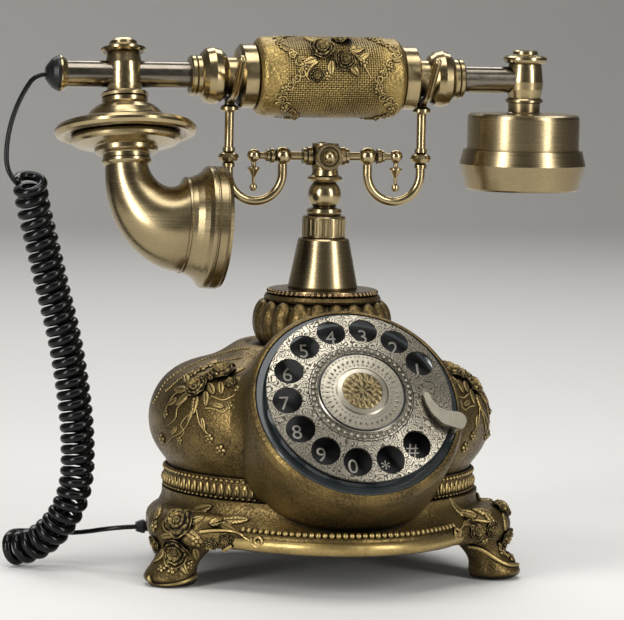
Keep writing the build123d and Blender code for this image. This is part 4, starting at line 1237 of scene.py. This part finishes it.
@dataclass
class CurlyCord:
    """Handset cord: straight lead, long curls and a tail into the base.

    Points of the lead, of the curls' route and of the tail are in millimetres from the column's axis.
    """

    radius: float = 1.25 * MM
    curl_cord_radius: float = 2.5 * MM
    curl_radius: float = 6.4 * MM
    turns: int = 37
    per_turn: int = 16
    lead_in: float = 0.009
    run_out: float = 0.008
    lead: tuple = (
        (-140.0, 0.0, 254.8),
        (-150.0, 0.0, 254.8),
        (-156.0, -0.5, 247.0),
        (-162.3, -3.0, 234.5),
        (-166.0, -6.5, 220.5),
        (-166.8, -11.0, 208.5),
    )
    route: tuple = (
        (-154.2, -6.2, 202.0),
        (-152.3, -0.8, 190.8),
        (-147.0, 0.0, 171.5),
        (-140.6, 0.0, 145.3),
        (-133.8, 0.0, 119.8),
        (-128.6, 0.0, 89.1),
        (-126.6, 0.0, 68.6),
        (-126.4, 1.0, 48.0),
        (-130.2, 4.0, 32.0),
        (-138.4, 11.0, 18.4),
        (-148.2, 21.0, 9.9),
        (-156.0, 27.0, 8.9),
    )
    tail: tuple = ((-133.0, 35.0, 15.6), (-120.4, 28.2, 16.0), (-102.6, 9.6, 22.0), (-84.5, 9.6, 22.0))

    @staticmethod
    def _in_row(points: Iterable) -> list[Vector]:
        """Moves column points in millimetres to the shared frame."""
        return [Vector((x * MM, y * MM + COLUMN_Y, z * MM)) for x, y, z in points]

    @staticmethod
    def _spline(name: str, points: Sequence[Vector], sizes: Sequence[float] | None = None) -> bpy.types.Curve:
        """Makes a smooth open curve.

        Args:
            name: Curve name.
            points: Control points.
            sizes: Thickness at each point as a share of the full one.

        Returns:
            The curve.
        """
        curve = bpy.data.curves.new(name, "CURVE")
        curve.dimensions = "3D"
        curve.resolution_u = 4
        spline = curve.splines.new("NURBS")
        spline.points.add(len(points) - 1)
        for slot, point in zip(spline.points, points):
            slot.co = (*point, 1.0)
        for slot, size in zip(spline.points, sizes or ()):
            slot.radius = size
        spline.order_u = 3
        spline.use_endpoint_u = True
        return curve

    @staticmethod
    def _line(curve: bpy.types.Curve) -> list[Vector]:
        """Reads the points that a curve runs through.

        Args:
            curve: Curve without a bevel.

        Returns:
            Its points in order.
        """
        mesh = plain_mesh(in_scene(curve.name, curve))
        points = [vertex.co.copy() for vertex in mesh.vertices]
        bpy.data.meshes.remove(mesh)
        return points

    def _helix(self) -> list[Vector]:
        """Winds the curls round their route.

        Returns:
            Points along the curls.
        """
        route = self._spline("cord_route", self._in_row(self.route))
        route.resolution_u = 24
        line = self._line(route)
        ways = [(b - a).normalized() for a, b in zip(line, line[1:])]
        ways.append(ways[-1])
        grown = [0.0]
        for index in range(len(line) - 1):
            step = (line[index + 1] - line[index]).length
            bend = ways[index].angle(ways[index + 1])
            grown.append(grown[-1] + max(0.3 * step, step - self.curl_radius * bend))
        points = []
        total = self.turns * self.per_turn
        wide = self.curl_radius / math.cos(math.pi / self.per_turn)
        segment = 0
        for step in range(total + 1):
            goal = grown[-1] * step / total
            while segment < len(line) - 2 and grown[segment + 1] < goal:
                segment += 1
            share = (goal - grown[segment]) / (grown[segment + 1] - grown[segment])
            centre = line[segment].lerp(line[segment + 1], share)
            heading = ways[segment].lerp(ways[segment + 1], share).normalized()
            side = (Vector((0, 1, 0)) - heading * heading.y).normalized()
            angle = -math.pi / 2 + 2 * math.pi * step / self.per_turn
            ring = side * math.cos(angle) + heading.cross(side) * math.sin(angle)
            points.append(centre + ring * wide)
        return points

    def build(self, shop: Workshop) -> bpy.types.Object:
        """Makes the cord as one open curve.

        Args:
            shop: Nodes, camera, materials and bead tree.

        Returns:
            The cord.
        """
        curls = self._helix()
        begin = (curls[1] - curls[0]).normalized()
        end = (curls[-1] - curls[-2]).normalized()
        points = self._in_row(self.lead)
        corner = curls[0] - begin * self.lead_in
        points += [corner.lerp(points[-1], 0.42), corner.lerp(curls[0], 0.55)] + curls
        points += [curls[-1] + end * self.run_out] + self._in_row(self.tail)
        thin = self.radius / self.curl_cord_radius
        sizes = [thin] * (len(self.lead) + 2) + [1.0] * len(curls) + [thin] * (len(self.tail) + 1)
        curve = self._spline("handset_cord", points, sizes)
        line = self._line(curve)
        curve.bevel_depth = self.curl_cord_radius
        curve.bevel_resolution = 3
        curve.use_fill_caps = True
        curve.materials.append(shop.finishes["cord_black"])
        cord = in_scene("handset_cord", plain_mesh(in_scene("handset_cord_line", curve)))
        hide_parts("cord_lead", "cord_curls", "cord_tail")
        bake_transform(cord)
        return cord


@dataclass
class HandleSleeve:
    """Cast sleeve of the handset with a net weave, roses on top and lace at both ends.

    Ornaments are listed by their pixel in the photograph's view. Sizes are millimetres, turns degrees.
    A row of lace has its middle and its swing along the sleeve, and the angle where it swings out furthest.
    """

    half: float = 38.0 * MM
    end_radius: float = 20.2 * MM
    radius: float = 20.8 * MM
    rounding: float = 4.2 * MM
    bore: float = 10.2 * MM
    around: int = 120
    along: int = 72
    lace_pieces: int = 66
    lace_zigzags: int = 4
    lace_rows: tuple = ((-23.0, 5.5, 165.0), (27.0, 5.0, 143.0))
    roses: tuple = (((321.8, 49.9), 6.6), ((341.7, 39.9), 5.8), ((344.2, 61.0), 5.6), ((316.5, 75.0), 3.9))
    buds: tuple = (((363.5, 62.5), 2.6), ((326.0, 76.0), 2.4))
    leaves: tuple = (
        ((311.0, 40.0), 8.0, 5.0, 60),
        ((357.0, 50.0), 9.0, 5.0, -75),
        ((355.5, 71.0), 8.0, 4.4, -140),
        ((309.5, 61.0), 8.0, 4.8, 110),
        ((331.0, 68.5), 7.5, 4.4, 180),
        ((365.0, 56.0), 7.0, 3.6, -60),
    )
    vines: tuple = (
        ((352.0, 53.0), (360.0, 60.0), (366.0, 69.0), (371.5, 78.5)),
        ((317.0, 62.0), (310.0, 68.0), (307.0, 77.0), (313.0, 82.0)),
    )

    def _radius_at(self, x: float) -> float:
        """Works out the sleeve's radius.

        Args:
            x: Place along the sleeve from its middle.

        Returns:
            The radius there.
        """
        rise = self.radius - self.end_radius
        bow = (self.half**2 + rise**2) / (2 * rise)
        side = math.sqrt(bow * bow - x * x) - (bow - self.radius)
        past = min(max(abs(x) - (self.half - self.rounding), 0.0), self.rounding)
        return side - self.rounding + math.sqrt(self.rounding**2 - past**2)

    def _shell(self, finishes: Finishes) -> None:
        """Makes the woven shell.

        Args:
            finishes: Materials.
        """
        verts = []
        stations = [-self.half * math.cos(math.pi * i / (self.along - 1)) for i in range(self.along)]
        rings = [(x, self._radius_at(x)) for x in stations]
        rings = [(-self.half, self.bore), *rings, (self.half, self.bore)]
        for x, size in rings:
            for angle in circle(self.around):
                verts.append((x, COLUMN_Y + size * math.cos(angle), HANDSET_Z + size * math.sin(angle)))
        faces = grid_faces(len(rings), self.around, True)
        piece = mesh_piece("handle_shell", verts, faces, finishes["woven_gold"])
        layer = piece.data.uv_layers.new(name="weave")
        for polygon in piece.data.polygons:
            row, column = divmod(polygon.index, self.around)
            ends = ((column, row), (column + 1, row), (column + 1, row + 1), (column, row + 1))
            for corner, (c, r) in zip(polygon.loop_indices, ends):
                layer.data[corner].uv = (c / self.around, (rings[r][0] + self.half) / (2 * self.half))
        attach(piece, "handset")
        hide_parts("handle_sleeve")

    def _lace(self, ornament: Ornament) -> None:
        """Adds the lace of small curls, leaves and flowers round both ends.

        Args:
            ornament: Ornament that the lace goes into.
        """
        for middle, swing, start in self.lace_rows:
            for step, angle in enumerate(circle(self.lace_pieces)):
                out = Vector((0, math.cos(angle), math.sin(angle)))
                wave = math.cos(self.lace_zigzags * (angle - math.radians(start)))
                x = (middle + swing * wave + 1.1 * math.sin(9.7 * step)) * MM
                spot = (Vector((x, COLUMN_Y, HANDSET_Z)) + out * self._radius_at(x), out)
                if step % 6 == 0:
                    ornament.flower(spot, 2.4 * MM, 1.9 * MM)
                elif step % 3 == 1:
                    ornament.leaf(spot, 5.0 * MM, 2.6 * MM, angle * 3.0, 1.1 * MM)
                else:
                    ornament.scroll(spot, 2.4 * MM, 1.3 if step % 2 else -1.3, angle * 5.0, 0.55 * MM)

    def build(self, shop: Workshop) -> None:
        """Makes the shell and its ornaments.

        Args:
            shop: Nodes, camera, materials and bead tree.
        """
        self._shell(shop.finishes)
        ornament = shop.ornament("handle_roses", "handle_sleeve")
        ornament.bouquet(self.roses, self.buds, self.leaves, self.vines, 0.8 * MM)
        self._lace(ornament)
        ornament.finish(shop.finishes["ornament_gold"], "handset", "antique_gold")


@dataclass
class DialFace:
    """Numerals, rosette, bead rows and turned rings of the dial."""

    marks: str = "1234567890*#"
    numeral_circle: float = 37.3 * MM
    first_angle: float = 27.2
    angle_step: float = 25.75
    height: float = 7.6 * MM
    height_in_font: float = 0.70
    shift: Spot = (0.6 * MM, 1.5 * MM)
    numeral_rise: float = 1.08 * MM
    plate_top: float = 11.9 * MM
    rosette_radius: float = 10.4 * MM
    rosette_rise: float = 2.1 * MM
    bead_rows: tuple = (
        ("dial_beads", 24.5, -0.15, 46, (1.05, 1.05, 1.05)),
        ("dial_leaves", 17.6, 1.35, 40, (0.42, 1.5, 0.42)),
        ("dial_dots", 15.0, 1.45, 44, (0.5, 0.5, 0.5)),
        ("dial_pearls", 20.0, 1.15, 58, (0.5, 0.5, 0.5)),
    )
    turned_rings: tuple = (
        ("medallion_rim", "plain_silver", ((11.0, 1.2), (11.3, 1.9), (12.0, 1.9), (12.3, 1.2))),
        ("inner_groove", "gloss_black", ((20.9, 1.1), (21.2, 1.28), (21.8, 1.28), (22.1, 0.5))),
        # the bead channel takes the darker silver, painted shade in its recess
        ("bead_channel", "shaded_silver", ((23.1, -0.2), (23.2, 0.06), (25.7, -0.74), (25.8, -1.2))),
        ("outer_groove", "gloss_black", ((26.2, -1.2), (26.3, -0.75), (26.7, -0.9), (26.8, -1.4))),
    )

    @staticmethod
    def at(x: float, y: float, out: float) -> Vector:
        """Gives a point of the dial from its place across, up and outward."""
        return DIAL_CENTRE + Vector((x, 0, 0)) + DIAL_UP * y + DIAL_OUT * out

    def polar(self, radius: float, angle: float, out: float) -> Vector:
        """Gives a point of the dial from its radius, its angle and its place outward."""
        return self.at(radius * math.cos(angle), radius * math.sin(angle), out)

    def matrix(self, x: float, y: float, out: float) -> Matrix:
        """Gives the placing of something flat on the dial."""
        turn = Matrix((Vector((1, 0, 0)), DIAL_UP, DIAL_OUT)).transposed().to_4x4()
        return Matrix.Translation(self.at(x, y, out)) @ turn

    def _numerals(self, finishes: Finishes) -> None:
        """Makes the numerals on the number plate as one piece.

        Args:
            finishes: Materials.
        """
        verts, faces = [], []
        for index, mark in enumerate(self.marks):
            curve = bpy.data.curves.new("mark", "FONT")
            curve.body = mark
            curve.size = self.height / self.height_in_font
            curve.extrude = 0.00006
            curve.offset = -0.00004
            curve.align_x = "CENTER"
            curve.align_y = "CENTER"
            mesh = plain_mesh(in_scene("mark", curve))
            low, high = (
                Vector([pick(v.co[i] for v in mesh.vertices) for i in range(3)]) for pick in (min, max)
            )
            angle = math.radians(self.first_angle + self.angle_step * index)
            across = self.numeral_circle * math.cos(angle) + self.shift[0]
            upward = self.numeral_circle * math.sin(angle) + self.shift[1]
            placing = self.matrix(across, upward, self.numeral_rise)
            first = len(verts)
            verts += [placing @ (v.co - (low + high) / 2) for v in mesh.vertices]
            faces += [tuple(first + i for i in p.vertices) for p in mesh.polygons]
            bpy.data.meshes.remove(mesh)
        piece = mesh_piece("numerals", verts, faces, finishes["numeral_cream"])
        piece.data.shade_flat()
        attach(piece, "base")

    def _rosette(self, finishes: Finishes) -> None:
        """Makes the rosette in the dial's middle.

        Args:
            finishes: Materials.
        """
        rings, around = 34, 128
        verts = []
        for share, angle in disc(rings, around):
            inner = abs(math.cos(4 * angle)) ** 0.7 * hump(share - 0.36, 0.17)
            outer = abs(math.cos(8 * angle)) ** 0.8 * hump(share - 0.74, 0.16)
            sunk = 0.0014 if share == 1.0 else 0
            lift = 0.0003 + 0.0012 * inner + 0.0010 * outer + 0.0014 * hump(share, 0.14) - sunk
            out = self.plate_top + self.rosette_rise + lift
            verts.append(self.polar(self.rosette_radius * share, angle, out))
        faces = grid_faces(rings + 1, around, True)
        self._on_dial(mesh_piece("dial_rosette", verts, faces, finishes["coin_bronze"]))

    def _rings(self, shop: Workshop) -> None:
        """Makes the bead rows and the turned rings on the finger plate.

        Args:
            shop: Nodes, camera, materials and bead tree.
        """
        silver = shop.finishes["plain_silver"]
        for name, radius, out, count, size in self.bead_rows:
            path = [self.polar(radius * MM, angle, self.plate_top + out * MM) for angle in circle(96)]
            self._on_dial(shop.beads.lay(name, path, True, count, size, silver))
        around = 120
        for name, finish, profile in self.turned_rings:
            verts = [
                self.polar(radius * MM, -angle, self.plate_top + out * MM)
                for radius, out in profile
                for angle in circle(around)
            ]
            faces = grid_faces(len(profile), around, True)
            self._on_dial(mesh_piece(name, verts, faces, shop.finishes[finish]))

    @staticmethod
    def _on_dial(piece: bpy.types.Object) -> None:
        """Lets a piece ride the dial."""
        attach(piece, "dial")

    def build(self, shop: Workshop) -> None:
        """Makes the dial's pieces.

        Args:
            shop: Nodes, camera, materials and bead tree.
        """
        self._numerals(shop.finishes)
        self._rosette(shop.finishes)
        self._rings(shop)


@dataclass
class BaseOrnament:
    """Roses, leaves, frieze and beads of the cast base.

    Ornaments are listed by their pixel in the photograph's view. Sizes are millimetres, turns degrees.
    """

    flank_roses: tuple = (
        ((197.8, 387.4), 6.6),
        ((223.0, 373.2), 7.6),
        ((210.5, 377.5), 4.4),
        ((231.0, 383.0), 3.4),
    )
    flank_buds: tuple = (
        ((201.5, 369.7), 3.4),
        ((209.0, 366.5), 2.8),
        ((193.5, 374.0), 2.8),
        ((221.0, 450.0), 3.2),
        ((162.3, 438.0), 3.0),
        ((209.5, 438.5), 2.8),
        ((238.5, 389.0), 2.6),
        ((180.0, 440.0), 2.2),
        ((166.0, 414.0), 2.2),
        ((229.5, 405.5), 2.2),
    )
    flank_leaves: tuple = (
        ((182.7, 399.3), 10, 5.4, 140),
        ((195.2, 404.3), 11, 5.6, 190),
        ((180.4, 389.8), 10, 5.2, 95),
        ((236.8, 371.2), 9, 5.0, -80),
        ((186.5, 378.7), 9, 5, 60),
        ((211.5, 389.0), 9, 5.0, -130),
        ((206.0, 399.0), 9, 4.6, -155),
        ((172.5, 402.0), 8, 4.2, 120),
        ((214.0, 362.5), 8, 4.4, -30),
        ((221.0, 388.5), 9, 5.0, -150),
        ((203.0, 377.0), 8, 4.6, 20),
        ((190.5, 415.5), 7, 3.4, 165),
        ((203.5, 424.5), 7, 3.4, -160),
        ((174.5, 430.5), 7, 3.2, 130),
        ((218.5, 405.5), 7, 3.4, -100),
        ((240.5, 380.0), 7, 3.4, -110),
    )
    flank_vines: tuple = (
        (
            (195.0, 407.0), (192.0, 413.0), (189.3, 421.0), (186.0, 427.3),
            (180.0, 433.3), (172.7, 437.3), (167.3, 444.0),
        ),
        ((197.0, 410.0), (198.3, 417.3), (200.7, 425.0), (206.0, 431.7), (211.0, 437.3), (211.7, 443.7)),
        ((191.7, 413.3), (186.3, 417.3), (181.3, 425.0), (184.5, 431.7), (179.0, 439.3)),
        ((212.0, 396.3), (222.0, 400.0), (232.3, 396.7), (242.7, 388.0)),
        ((181.0, 390.0), (173.3, 396.7), (167.3, 406.7), (164.3, 416.7)),
        ((206.0, 408.0), (215.3, 409.3), (223.3, 412.0), (231.0, 405.0)),
        ((188.0, 398.0), (178.0, 408.0), (176.0, 418.0), (168.0, 426.0)),
    )
    foot_roses: tuple = (
        ((179.5, 522.4), 8.6),
        ((176.7, 550.4), 7.6),
        ((156.0, 543.0), 4.6),
        ((210.0, 545.0), 3.9),
        ((226.0, 540.4), 3.9),
        ((505.0, 536.5), 5.8),
        ((500.6, 508.3), 6.4),
        ((476.4, 530.6), 5.0),
        ((492.2, 529.6), 4.6),
    )
    foot_buds: tuple = (
        ((197.0, 541.2), 3.4),
        ((162.1, 568.0), 2.8),
        ((171.9, 569.5), 2.8),
        ((154.5, 526.0), 3.2),
        ((190.0, 565.0), 2.6),
        ((510.0, 557.2), 3.6),
        ((501.5, 551.0), 2.6),
        ((484.0, 541.5), 2.6),
    )
    foot_leaves: tuple = (
        ((203.0, 509.3), 13, 6.4, -70),
        ((219.4, 521.4), 12, 6, -80),
        ((237.7, 520.0), 13, 5.8, -85),
        ((229.0, 529.0), 11, 5, -110),
        ((158.5, 512.5), 10, 5.4, 40),
        ((193.0, 535.0), 10, 5.4, -120),
        ((160.0, 556.5), 9, 5, 150),
        ((196.0, 553.5), 9, 4.8, -160),
        ((183.0, 567.5), 9, 4.8, -150),
        ((167.0, 535.5), 9, 5, 100),
        ((195.0, 520.0), 10, 5.6, -60),
        ((477.7, 498.3), 14, 6.4, 65),
        ((463.5, 512.5), 14, 6, 80),
        ((481.5, 511.5), 11, 6, 60),
        ((489.0, 518.0), 10, 5.4, 30),
        ((505.0, 521.5), 10, 5.4, -20),
        ((466.0, 524.0), 9, 4.6, 100),
        ((501.0, 542.0), 9, 4.6, 170),
        ((516.0, 547.0), 9, 4.6, -170),
    )
    foot_vines: tuple = (
        ((200.2, 532.2), (218.0, 531.2), (236.2, 532.8), (249.3, 540.4), (258.5, 545.4)),
        ((490.0, 522.0), (474.0, 521.0), (462.9, 526.6), (456.0, 537.0)),
        ((497.5, 541.5), (502.0, 549.5), (508.0, 558.0)),
    )
    foot_scrolls: tuple = (((258.0, 541.2), 3.6, 1.6, 160), ((456.0, 532.6), 3.6, -1.6, 20))
    seams: tuple = (
        ((154.0, 402.7), (169.1, 379.0), (200.0, 361.5), (233.5, 350.2), (248.2, 348.5)),
        ((166.6, 390.8), (185.0, 376.0), (212.0, 364.0), (241.5, 357.6)),
    )
    toe_lips: tuple = (
        (
            (149.5, 577.5), (155.1, 583.5), (176.1, 583.5), (193.0, 577.0),
            (207.0, 563.5), (218.2, 552.2), (232.2, 545.2),
        ),
        (
            (469.0, 545.0), (476.0, 546.5), (484.0, 550.5), (492.0, 556.5),
            (500.0, 562.0), (509.0, 565.5), (517.0, 565.0),
        ),
    )
    drum_radius: float = 55.2 * MM
    blend_radius: float = 54.9 * MM
    blend_points: int = 10
    frieze_half: Spot = (80.0 * MM, 70.0 * MM)
    frieze_rows: tuple = (
        ("frieze_tongues", 48.6, 104, (1.95, 1.0, 3.7)),
        ("frieze_eyes", 48.0, 104, (0.85, 2.0, 2.4)),
        ("frieze_beads", 53.6, 150, (1.25, 1.4, 1.0)),
        ("frieze_rope", 44.9, 150, (1.35, 1.4, 0.8)),
    )
    disc_radius: float = 27.6 * MM
    disc_height: float = 144.6 * MM
    moulding_half: int = 64
    moulding_height: float = 25.2 * MM
    moulding_inset: float = 3.6 * MM
    moulding_radius: float = 3.9 * MM
    beads_half: int = 54
    beads_height: float = 31.6 * MM
    beads_inset: float = 2.6 * MM

    def _flanks(self, shop: Workshop) -> None:
        """Makes the bouquets on both flanks.

        Args:
            shop: Nodes, camera, materials and bead tree.
        """
        ornament = shop.ornament("flank_roses", "body_shell")
        ornament.bouquet(self.flank_roses, self.flank_buds, self.flank_leaves, self.flank_vines, 0.6 * MM)
        ornament.mirrored()
        ornament.finish(shop.finishes["ornament_gold"], "base", "antique_gold")

    def _feet(self, shop: Workshop) -> None:
        """Makes the roses, scrolls and toe lips of the front feet.

        Args:
            shop: Nodes, camera, materials and bead tree.
        """
        ornament = shop.ornament("foot_roses", "foot_front_left", "foot_front_right", "plinth")
        ornament.bouquet(self.foot_roses, self.foot_buds, self.foot_leaves, self.foot_vines, 1.0 * MM)
        for spot, radius, turns, spin in self.foot_scrolls:
            if found := ornament.place(spot):
                ornament.scroll(found, radius * MM, turns, math.radians(spin), 1.0 * MM)
        for lip in self.toe_lips:
            ornament.vine(lip, 1.4 * MM, 0.8)
        ornament.finish(shop.finishes["ornament_gold"], "base", "antique_gold")

    def _blend_row(self, tree: BVHTree, dial: DialFace, angle: float) -> list[Vector]:
        """Draws one line of the hollow curve from the dial's drum to the body.

        Args:
            tree: Surface of the base.
            dial: Gives places on the dial.
            angle: Where the line is round the dial.

        Returns:
            Points of the line, or none where there is no hollow to fill.
        """
        inward = dial.at(0, 0, -1) - dial.at(0, 0, 0)
        crease = tree.ray_cast(dial.polar(self.drum_radius, angle, -1.0 * MM), inward)[0]
        if crease is None:
            return []
        depth = (crease - dial.polar(self.drum_radius, angle, 0)).dot(inward)
        width = min(8.0 * MM, depth - 4.5 * MM, 0.28 * (crease.z - 52 * MM))
        foot = tree.ray_cast(dial.polar(self.drum_radius + width, angle, -1.0 * MM), inward)[0]
        if foot is None or width <= 1.5 * MM or (foot - crease).length >= 2.4 * width:
            return []
        start = dial.polar(self.blend_radius, angle, width - depth)
        end = foot + inward * 0.0003
        shares = [i / (self.blend_points - 1) for i in range(self.blend_points)]
        return [start * (1 - t) ** 2 + crease * 2 * t * (1 - t) + end * t * t for t in shares]

    def _drum_blend(self, shop: Workshop, dial: DialFace) -> None:
        """Makes the hollow curve where the dial's drum grows out of the body.

        Args:
            shop: Nodes, camera, materials and bead tree.
            dial: Gives places on the dial.
        """
        tree = Carrier(shop.nodes, "body_shell", "plinth", "neck_bulb").tree
        rows = [self._blend_row(tree, dial, angle) for angle in circle(180)]
        verts: list[Vector] = []
        faces: list[tuple[int, ...]] = []
        for row, after in zip(rows, rows[1:] + rows[:1]):
            if not row or not after:
                continue
            if (row[0] - after[0]).length < 6 * MM and (row[-1] - after[-1]).length < 8 * MM:
                first, size = len(verts), self.blend_points
                verts += row + after
                faces += [(i, i + size, i + size + 1, i + 1) for i in range(first, first + size - 1)]
        self._base_row(mesh_piece("drum_blend", verts, faces, shop.finishes["cast_gold"]))

    @staticmethod
    def _across(half: int, steps: int) -> list[float]:
        """Gives even places across the front, from a half width in millimetres."""
        return [(-half + 2 * half * step / steps) * MM for step in range(steps + 1)]

    def _moulding(self, shop: Workshop) -> None:
        """Makes the round moulding along the plinth's front edge.

        Args:
            shop: Nodes, camera, materials and bead tree.
        """
        ornament = shop.ornament("plinth_moulding", "plinth")
        line = []
        near = 0.0005
        for x in self._across(self.moulding_half, 80):
            depth = self._plinth_front(abs(x))
            slope = (self._plinth_front(abs(x) + near) - depth) / near
            out = Vector((-slope if x > 0 else slope, -1.0, 0.0)).normalized()
            edge = Vector((x, COLUMN_Y - depth, self.moulding_height))
            line.append((edge - out * self.moulding_inset, out))
        ornament.stem(line, self.moulding_radius)
        ornament.finish(shop.finishes["ornament_gold"], "base", "antique_gold")

    @staticmethod
    def _ring(half: Spot, height: float) -> list[Vector]:
        """Gives a level ring round the column from its half width and half depth."""
        wide, deep = half
        return [Vector((wide * math.cos(a), COLUMN_Y + deep * math.sin(a), height)) for a in circle(180)]

    def _rows(self, shop: Workshop) -> None:
        """Makes the leaf frieze and the bead rows of the plinth and the column's disc.

        Args:
            shop: Nodes, camera, materials and bead tree.
        """
        gold, lay = shop.finishes["ornament_gold"], shop.beads.lay
        for name, height, count, size in self.frieze_rows:
            path = self._ring(self.frieze_half, height * MM)
            self._base_row(lay(name, path, True, count, size, gold))
        front = []
        for x in self._across(self.beads_half, 60):
            y = COLUMN_Y - self._plinth_front(abs(x)) + self.beads_inset
            front.append(Vector((x, y, self.beads_height)))
        self._base_row(lay("plinth_beads", front, False, 38, (1.6, 1.6, 1.6), gold))
        path = self._ring((self.disc_radius, self.disc_radius), self.disc_height)
        row = lay("disc_beads", path, True, 60, (1.3, 1.3, 1.3), shop.finishes["copper_brass"])
        self._base_row(row, "antique_brass")

    def _seams(self, shop: Workshop) -> None:
        """Makes the dotted seams of both flanks.

        Args:
            shop: Nodes, camera, materials and bead tree.
        """
        carrier = Carrier(shop.nodes, "body_shell")
        gold = shop.finishes["ornament_gold"]
        for number, seam in enumerate(self.seams):
            drawn = smooth_path([Vector((x, y, 0)) for x, y in seam], 8)
            found = [carrier.seen(shop.studio, (p.x, p.y)) for p in drawn]
            places = [spot[0] for spot in found if spot]
            mirrored = [Vector((-p.x, p.y, p.z)) for p in places]
            for side, path in (("left", places), ("right", mirrored)):
                name = f"seam_{number}_{side}"
                self._base_row(shop.beads.lay(name, path, False, 34, (0.75, 0.75, 0.75), gold))

    @staticmethod
    def _plinth_front(x: float) -> float:
        """Works out the bow of the plinth's front, a parabola through three of its points.

        Args:
            x: Place across, from the middle.

        Returns:
            Depth before the column there.
        """
        x1, x2 = 32 * MM, 57 * MM
        middle = 94.0 * (x - x1) * (x - x2) / (x1 * x2)
        inner = 85.6 * x * (x - x2) / (x1 * (x2 - x1))
        outer = 65.0 * x * (x - x1) / (x2 * (x2 - x1))
        return (middle - inner + outer) * MM

    @staticmethod
    def _base_row(piece: bpy.types.Object, slot: str = "antique_gold") -> None:
        """Lets a row ride the base."""
        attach(piece, "base")

    def build(self, shop: Workshop) -> None:
        """Makes the base's ornaments.

        Args:
            shop: Nodes, camera, materials and bead tree.
        """
        self._flanks(shop)
        self._feet(shop)
        self._drum_blend(shop, DialFace())
        self._moulding(shop)
        self._rows(shop)
        self._seams(shop)


@dataclass
class Dressing:
    """Finish of each construction node that stays in view, by how the node's name starts."""

    starts: tuple = (
        ("cast_gold", "body_shell plinth foot_ neck_bulb"),
        ("copper_brass", "column_disc"),
        ("brushed_brass", "column_cone horn_ receiver_cup receiver_ring"),
        ("smooth_brass", "fluted_collar cradle_ crossbar pendants hook_ fork_ left_ferrule right_ferrule"),
        ("smooth_brass", "end_flange transmitter_ drip_flange lower_flange receiver_"),
        ("dark_nickel", "transmitter_arm receiver_arm handle_core"),
        ("engraved_silver", "finger_plate"),
        ("plain_silver", "dial_medallion finger_stop"),
        ("bezel_grey", "bezel_ring"),
        ("gloss_black", "dial_housing microphone_capsule receiver_capsule hook_switch line_jack ringer"),
        ("black_rubber", "number_plate cord_bush bottom_plate foot_pads cord_grommet"),
        ("steel", "bottom_screws plunger_spring dial_shaft governor_pinion"),
        ("board_green", "circuit_board"),
    )

    def build(self, shop: Workshop) -> int:
        """Puts each node's finish in its slots, where the longest start that fits decides.

        Args:
            shop: Nodes, camera, materials and bead tree.

        Returns:
            Number of nodes dressed.
        """
        finish_of = {start: finish for finish, starts in self.starts for start in starts.split()}
        done = 0
        for name, node in shop.nodes.items():
            fitting = [start for start in finish_of if name.startswith(start)]
            if not fitting:
                continue
            material = shop.finishes[finish_of[max(fitting, key=len)]]
            for slot in node.material_slots:
                slot.material = material
            if not node.material_slots:
                node.data.materials.append(material)
            done += 1
        return done


def main() -> None:
    """Builds the scene's pieces in order and logs its progress."""
    logging.basicConfig(level=logging.INFO, format="%(message)s")
    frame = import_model()
    finishes = Finishes()
    studio = Studio()
    studio.build()
    LOG.info("studio ready")
    shop = Workshop(frame["nodes"], studio, finishes, BeadString())
    cord = CurlyCord().build(shop)
    LOG.info("cord %s", cord.name)
    LOG.info("dressed %d nodes", Dressing().build(shop))
    HandleSleeve().build(shop)
    LOG.info("handle sleeve ready")
    DialFace().build(shop)
    LOG.info("dial face ready")
    BaseOrnament().build(shop)
    LOG.info("base ornaments ready")


if __name__ == "__main__":
    main()
